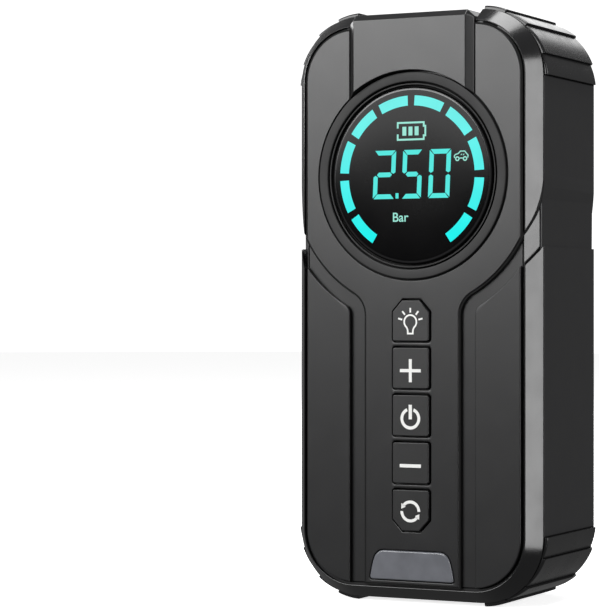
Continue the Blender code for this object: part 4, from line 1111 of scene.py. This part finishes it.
def symbol(name, z):
    """Outlines of the symbol printed on a button, a little below the middle of its cap."""
    if name == "plus":
        low, half, arm = z - 0.85, 0.55, 3.9
        corner = [(half, half), (half, arm), (-half, arm), (-half, half), (-arm, half), (-arm, -half),
                  (-half, -half), (-half, -arm), (half, -arm), (half, -half), (arm, -half), (arm, half)]
        return [[(x, low + dz) for x, dz in corner]]
    if name == "minus":
        return [bar(7.9, 1.15, 0, z - 0.95)]
    if name == "power":
        low = z - 1.0
        return [sector(2.65, 3.7, 112, 428, 0, low, 40), bar(1.2, 4.9, 0, low + 2.2)]
    if name == "mode":
        low = z - 0.3
        marks = []
        for turn in (0, 180):
            marks.append(sector(2.7, 3.7, turn, 143 + turn, 0, low, 28))
            tail, tip = math.radians(140 + turn), math.radians(166 + turn)
            marks.append([(r * math.cos(a), low + r * math.sin(a))
                          for r, a in ((2.3, tail), (4.3, tail), (3.5, tip))])
        return marks
    centre = z - 0.4
    bulb = arc(0, centre, 2.3, -52, 232, 28)
    bulb += [(-1.08, centre - 2.5), (-0.95, centre - 3.1), (-0.95, centre - 3.95), (0.95, centre - 3.95),
             (0.95, centre - 3.1), (1.08, centre - 2.5)]
    marks = stroke(bulb, 0.58, True)
    for angle in (14, 50, 90, 130, 166):
        a = math.radians(angle)
        marks += stroke([(3.15 * math.cos(a), centre + 3.15 * math.sin(a)),
                         (4.7 * math.cos(a), centre + 4.7 * math.sin(a))], 0.6)
    return marks


def make_buttons():
    """Button caps with soft edges and printed symbols."""
    for name in BUTTONS:
        low, high = node_box(name + "_button")
        bm = prism(button_outline(name, 1.0), high.y, high.y - 0.6)
        cap = facing(bm, (0, -1, 0))
        step_in(bm, cap, [(1.0, 0.0), (0.005, high.y - 0.6 - low.y - CAP_EDGE)] + rounding(CAP_EDGE))
        tidy(bm)
        body = name + "_button_cap"
        settle(name + "_cap", bm, FINISHES["button_rubber"], body, [name + "_button"])
        printed(symbol(name, button_box(name)[0]), low.y, FINISHES["symbols"], name + "_symbol", body)


def make_lamp():
    """The lamp window with its rounded front edge."""
    bm = prism(lamp_outline(), PANEL[1].y, FACE + 0.1)
    step_in(bm, facing(bm, (0, -1, 0)), rounding(0.5, 4))
    settle("lamp_window", bm, FINISHES["lamp_lens"], replaced=["lamp_lens"])


# ---------------------------------------------------------------- ports and outlet
def make_port_cover():
    """Moulded cover with a finger scoop, grip ribs and its hinge knuckle."""
    low, high = COVER
    hinge_y = high.y - 1.2
    hinge_x = low.x + 1.3
    plate_end = hinge_y - 1.4
    mid_y, mid_z = (low.y + plate_end) / 2, (low.z + high.z) / 2
    half_y, half_z = (plate_end - low.y) / 2, (high.z - low.z) / 2
    bm = prism(rounded_rect(half_y, half_z, 1.5, mid_y, mid_z, 6), low.x + 2.0, low.x + 0.3, "YZ")
    step_in(bm, facing(bm, (-1, 0, 0)), rounding(0.3))
    bm = carve(bm, [block((low.x + 0.3, hinge_y - 3, low.z + 1.9), (low.x + 1.9, hinge_y, high.z - 1.9)),
                    cylinder(1.2, low.z + 1.9, high.z - 1.9, "Z", (hinge_x, hinge_y, 0), 32)], "UNION")
    cutters = [cylinder(0.95, low.z, high.z, "Z", (hinge_x, hinge_y, 0), 32)]
    for i in range(4):
        y = low.y + 5.6 + 1.5 * i
        slot = rounded_rect(0.4, half_z - 9.0, 0.35, y, mid_z, 4)
        cutters.append(prism(slot, low.x - 1, low.x + 0.4, "YZ"))
    scoop = cylinder(3.2, mid_z - 6, mid_z + 6, "Z", (low.x - 2.2, low.y + 1.2, 0), 48)
    bm = carve(bm, cutters + [scoop])
    soften(bm, 0.1)
    settle("port_flap", bm, FINISHES["bumper_rubber"], "cover", ["port_cover"])


def make_air_outlet():
    """Brass hose connector with a rolled thread inside its mouth."""
    low, high = OUTLET
    y = (low.y + high.y) / 2
    radius, top = high.x, high.z
    bore = 3.9
    profile = [(1.4, low.z), (2.6, low.z), (2.6, low.z + 2.5), (5.2, low.z + 2.5), (5.2, top - 3.0),
               (radius, top - 3.0), (radius, top - 0.4), (radius - 0.12, top - 0.12), (radius - 0.4, top),
               (4.6, top), (4.3, top - 0.12), (bore + 0.25, top - 0.6)]
    z = top - 0.9
    while z > low.z + 4.6:
        profile += [(bore, z), (bore + 0.35, z - 0.35)]
        z -= 0.7
    profile += [(bore + 0.35, low.z + 3.8), (1.4, low.z + 3.8)]
    settle("hose_connector", turned(profile, "Z", (0, y, 0), 96), FINISHES["brass"], replaced=["air_outlet"])


# ---------------------------------------------------------------- stage
def area_light(name, place, target, size, power):
    """A rectangular lamp at a place, aimed at a target."""
    data = bpy.data.lights.new(name, "AREA")
    data.shape = "RECTANGLE"
    data.size, data.size_y = size
    data.energy = power
    lamp = bpy.data.objects.new(name, data)
    bpy.context.scene.collection.objects.link(lamp)
    lamp.location = place
    lamp.rotation_euler = (Vector(target) - Vector(place)).to_track_quat("-Z", "Y").to_euler()
    return lamp


def round_about(azimuth, distance, height):
    """A place round the pack, at an angle in degrees from its front towards its right."""
    a = math.radians(azimuth)
    return (distance * math.sin(a), -distance * math.cos(a), height)


def stage_object(name, bm, material):
    """A part of the set. It is seen by the camera but casts no reflection on the pack."""
    mesh = bpy.data.meshes.new(name)
    bm.to_mesh(mesh)
    bm.free()
    mesh.materials.append(material)
    obj = bpy.data.objects.new(name, mesh)
    bpy.context.scene.collection.objects.link(obj)
    obj.visible_glossy = False
    obj.visible_diffuse = False
    return obj


def make_stage():
    """Pale lit table, white surround, soft lights and the camera."""
    stage = bpy.context.scene.jump_starter_stage
    bm = bmesh.new()
    bmesh.ops.create_grid(bm, x_segments=2, y_segments=2, size=4.0)
    table = Finish("light_table", 0.8)
    fibre = table.noise(0.8, 3.0)
    table.colour(table.blend(fibre, (0.84, 0.84, 0.84), (0.9, 0.9, 0.9)))
    table.glow(stage.table_glow)
    stage_object("floor", bm, table.material)
    bm = bmesh.new()
    bmesh.ops.create_uvsphere(bm, u_segments=48, v_segments=24, radius=4.5)
    bmesh.ops.reverse_faces(bm, faces=bm.faces)
    paper = Finish("white_surround", 1.0)
    paper.colour(paper.blend(paper.noise(300.0), (0.8, 0.8, 0.8), (0.82, 0.82, 0.82)))
    paper.glow(1.0)
    surround = stage_object("surround", bm, paper.material)
    surround.visible_shadow = False

    world = bpy.data.worlds.new("room")
    world.use_nodes = True
    world.node_tree.nodes["Background"].inputs["Color"].default_value = (1, 1, 1, 1)
    world.node_tree.nodes["Background"].inputs["Strength"].default_value = stage.room
    bpy.context.scene.world = world
    bpy.context.scene.view_settings.view_transform = "Standard"

    middle = (0, 0, MID_Z * MM)
    area_light("front_panel_light", round_about(-28, 1.3, 0.61), middle, (0.95, 0.75), stage.key)
    area_light("side_strip_light", round_about(83, 1.1, 0.16), middle, (0.3, 1.0), stage.strip)
    area_light("top_light", (0.15, 0.0, 1.3), middle, (0.9, 0.6), stage.top)
    area_light("back_fill", round_about(200, 1.5, 0.8), middle, (1.2, 0.7), stage.fill)
    area_light("left_fill", round_about(251, 1.4, 0.46), middle, (0.42, 0.4), stage.left)

    data = bpy.data.cameras.new("camera")
    camera = bpy.data.objects.new("camera", data)
    bpy.context.scene.collection.objects.link(camera)
    aim = Vector((0, FACE * MM, MID_Z * MM))
    away = Vector((math.sin(stage.azimuth), -math.cos(stage.azimuth), 0))
    camera.location = aim + away * stage.distance
    camera.rotation_euler = (-away).to_track_quat("-Z", "Y").to_euler()
    data.lens = stage.lens
    data.sensor_width = 36.0
    data.shift_x = stage.shift
    data.clip_start = 0.01
    bpy.context.scene.camera = camera


# ---------------------------------------------------------------- operators and panel
def operator(suffix, label, text, work):
    """An operator class that runs one group's modelling."""

    def execute(self, context):
        work()
        return {"FINISHED"}

    return type("JUMPSTARTER_OT_" + suffix, (bpy.types.Operator,), {
        "bl_idname": "jumpstarter." + suffix, "bl_label": label, "__doc__": text, "execute": execute})


def fill_finishes():
    """Makes the materials that the other steps share."""
    FINISHES.update(make_materials())


STEPS = [
    operator("finishes", "Finishes", "Make every material and put it on the frame's nodes", fill_finishes),
    operator("stage", "Stage", "Make the floor, surround, lights and camera", make_stage),
    operator("front_frame", "Front frame", "Model the polished rim and deck", make_front_frame),
    operator("rear_case", "Rear case", "Model the rear shell with vents and port opening", make_rear_case),
    operator("front_panel", "Front panel", "Model the panel round the display and buttons", make_front_panel),
    operator("guards", "Guards", "Model the two guard plates", make_guards),
    operator("bridge", "Bridge", "Model the raised band over the top", make_bridge),
    operator("bumpers", "Bumpers", "Model the four corner bumpers", make_bumpers),
    operator("display", "Display", "Model the bezel and display cover", make_display),
    operator("gauge", "Gauge", "Model everything lit on the display", make_gauge),
    operator("buttons", "Buttons", "Model the button caps and their symbols", make_buttons),
    operator("lamp", "Lamp", "Model the lamp window", make_lamp),
    operator("port_cover", "Port cover", "Model the hinged cover over the ports", make_port_cover),
    operator("air_outlet", "Air outlet", "Model the threaded hose connector", make_air_outlet),
]


class JUMPSTARTER_PT_build(bpy.types.Panel):
    """Sidebar panel with the pack's settings and building steps"""

    bl_label = "Jump Starter"
    bl_idname = "JUMPSTARTER_PT_build"
    bl_space_type = "VIEW_3D"
    bl_region_type = "UI"
    bl_category = "Jump Starter"

    def draw(self, context):
        layout = self.layout
        for group in (context.scene.jump_starter_shape, context.scene.jump_starter_look,
                      context.scene.jump_starter_stage):
            box = layout.box()
            for name in group.__annotations__:
                box.prop(group, name)
        for step in STEPS:
            layout.operator(step.bl_idname)


GROUPS = {"jump_starter_shape": JumpStarterShape, "jump_starter_look": JumpStarterLook,
          "jump_starter_stage": JumpStarterStage}
CLASSES = [*GROUPS.values(), *STEPS, JUMPSTARTER_PT_build]


def register():
    """Adds the settings, operators and panel to Blender."""
    for cls in CLASSES:
        bpy.utils.register_class(cls)
    for name, group in GROUPS.items():
        setattr(bpy.types.Scene, name, bpy.props.PointerProperty(type=group))


def unregister():
    """Takes the settings, operators and panel out again."""
    for name in GROUPS:
        delattr(bpy.types.Scene, name)
    for cls in reversed(CLASSES):
        bpy.utils.unregister_class(cls)


def main():
    """Runs every building step and writes the two boxes to the size file."""
    register()
    for step in STEPS:
        getattr(bpy.ops.jumpstarter, step.bl_idname.split(".")[1])()


if __name__ == "__main__":
    main()
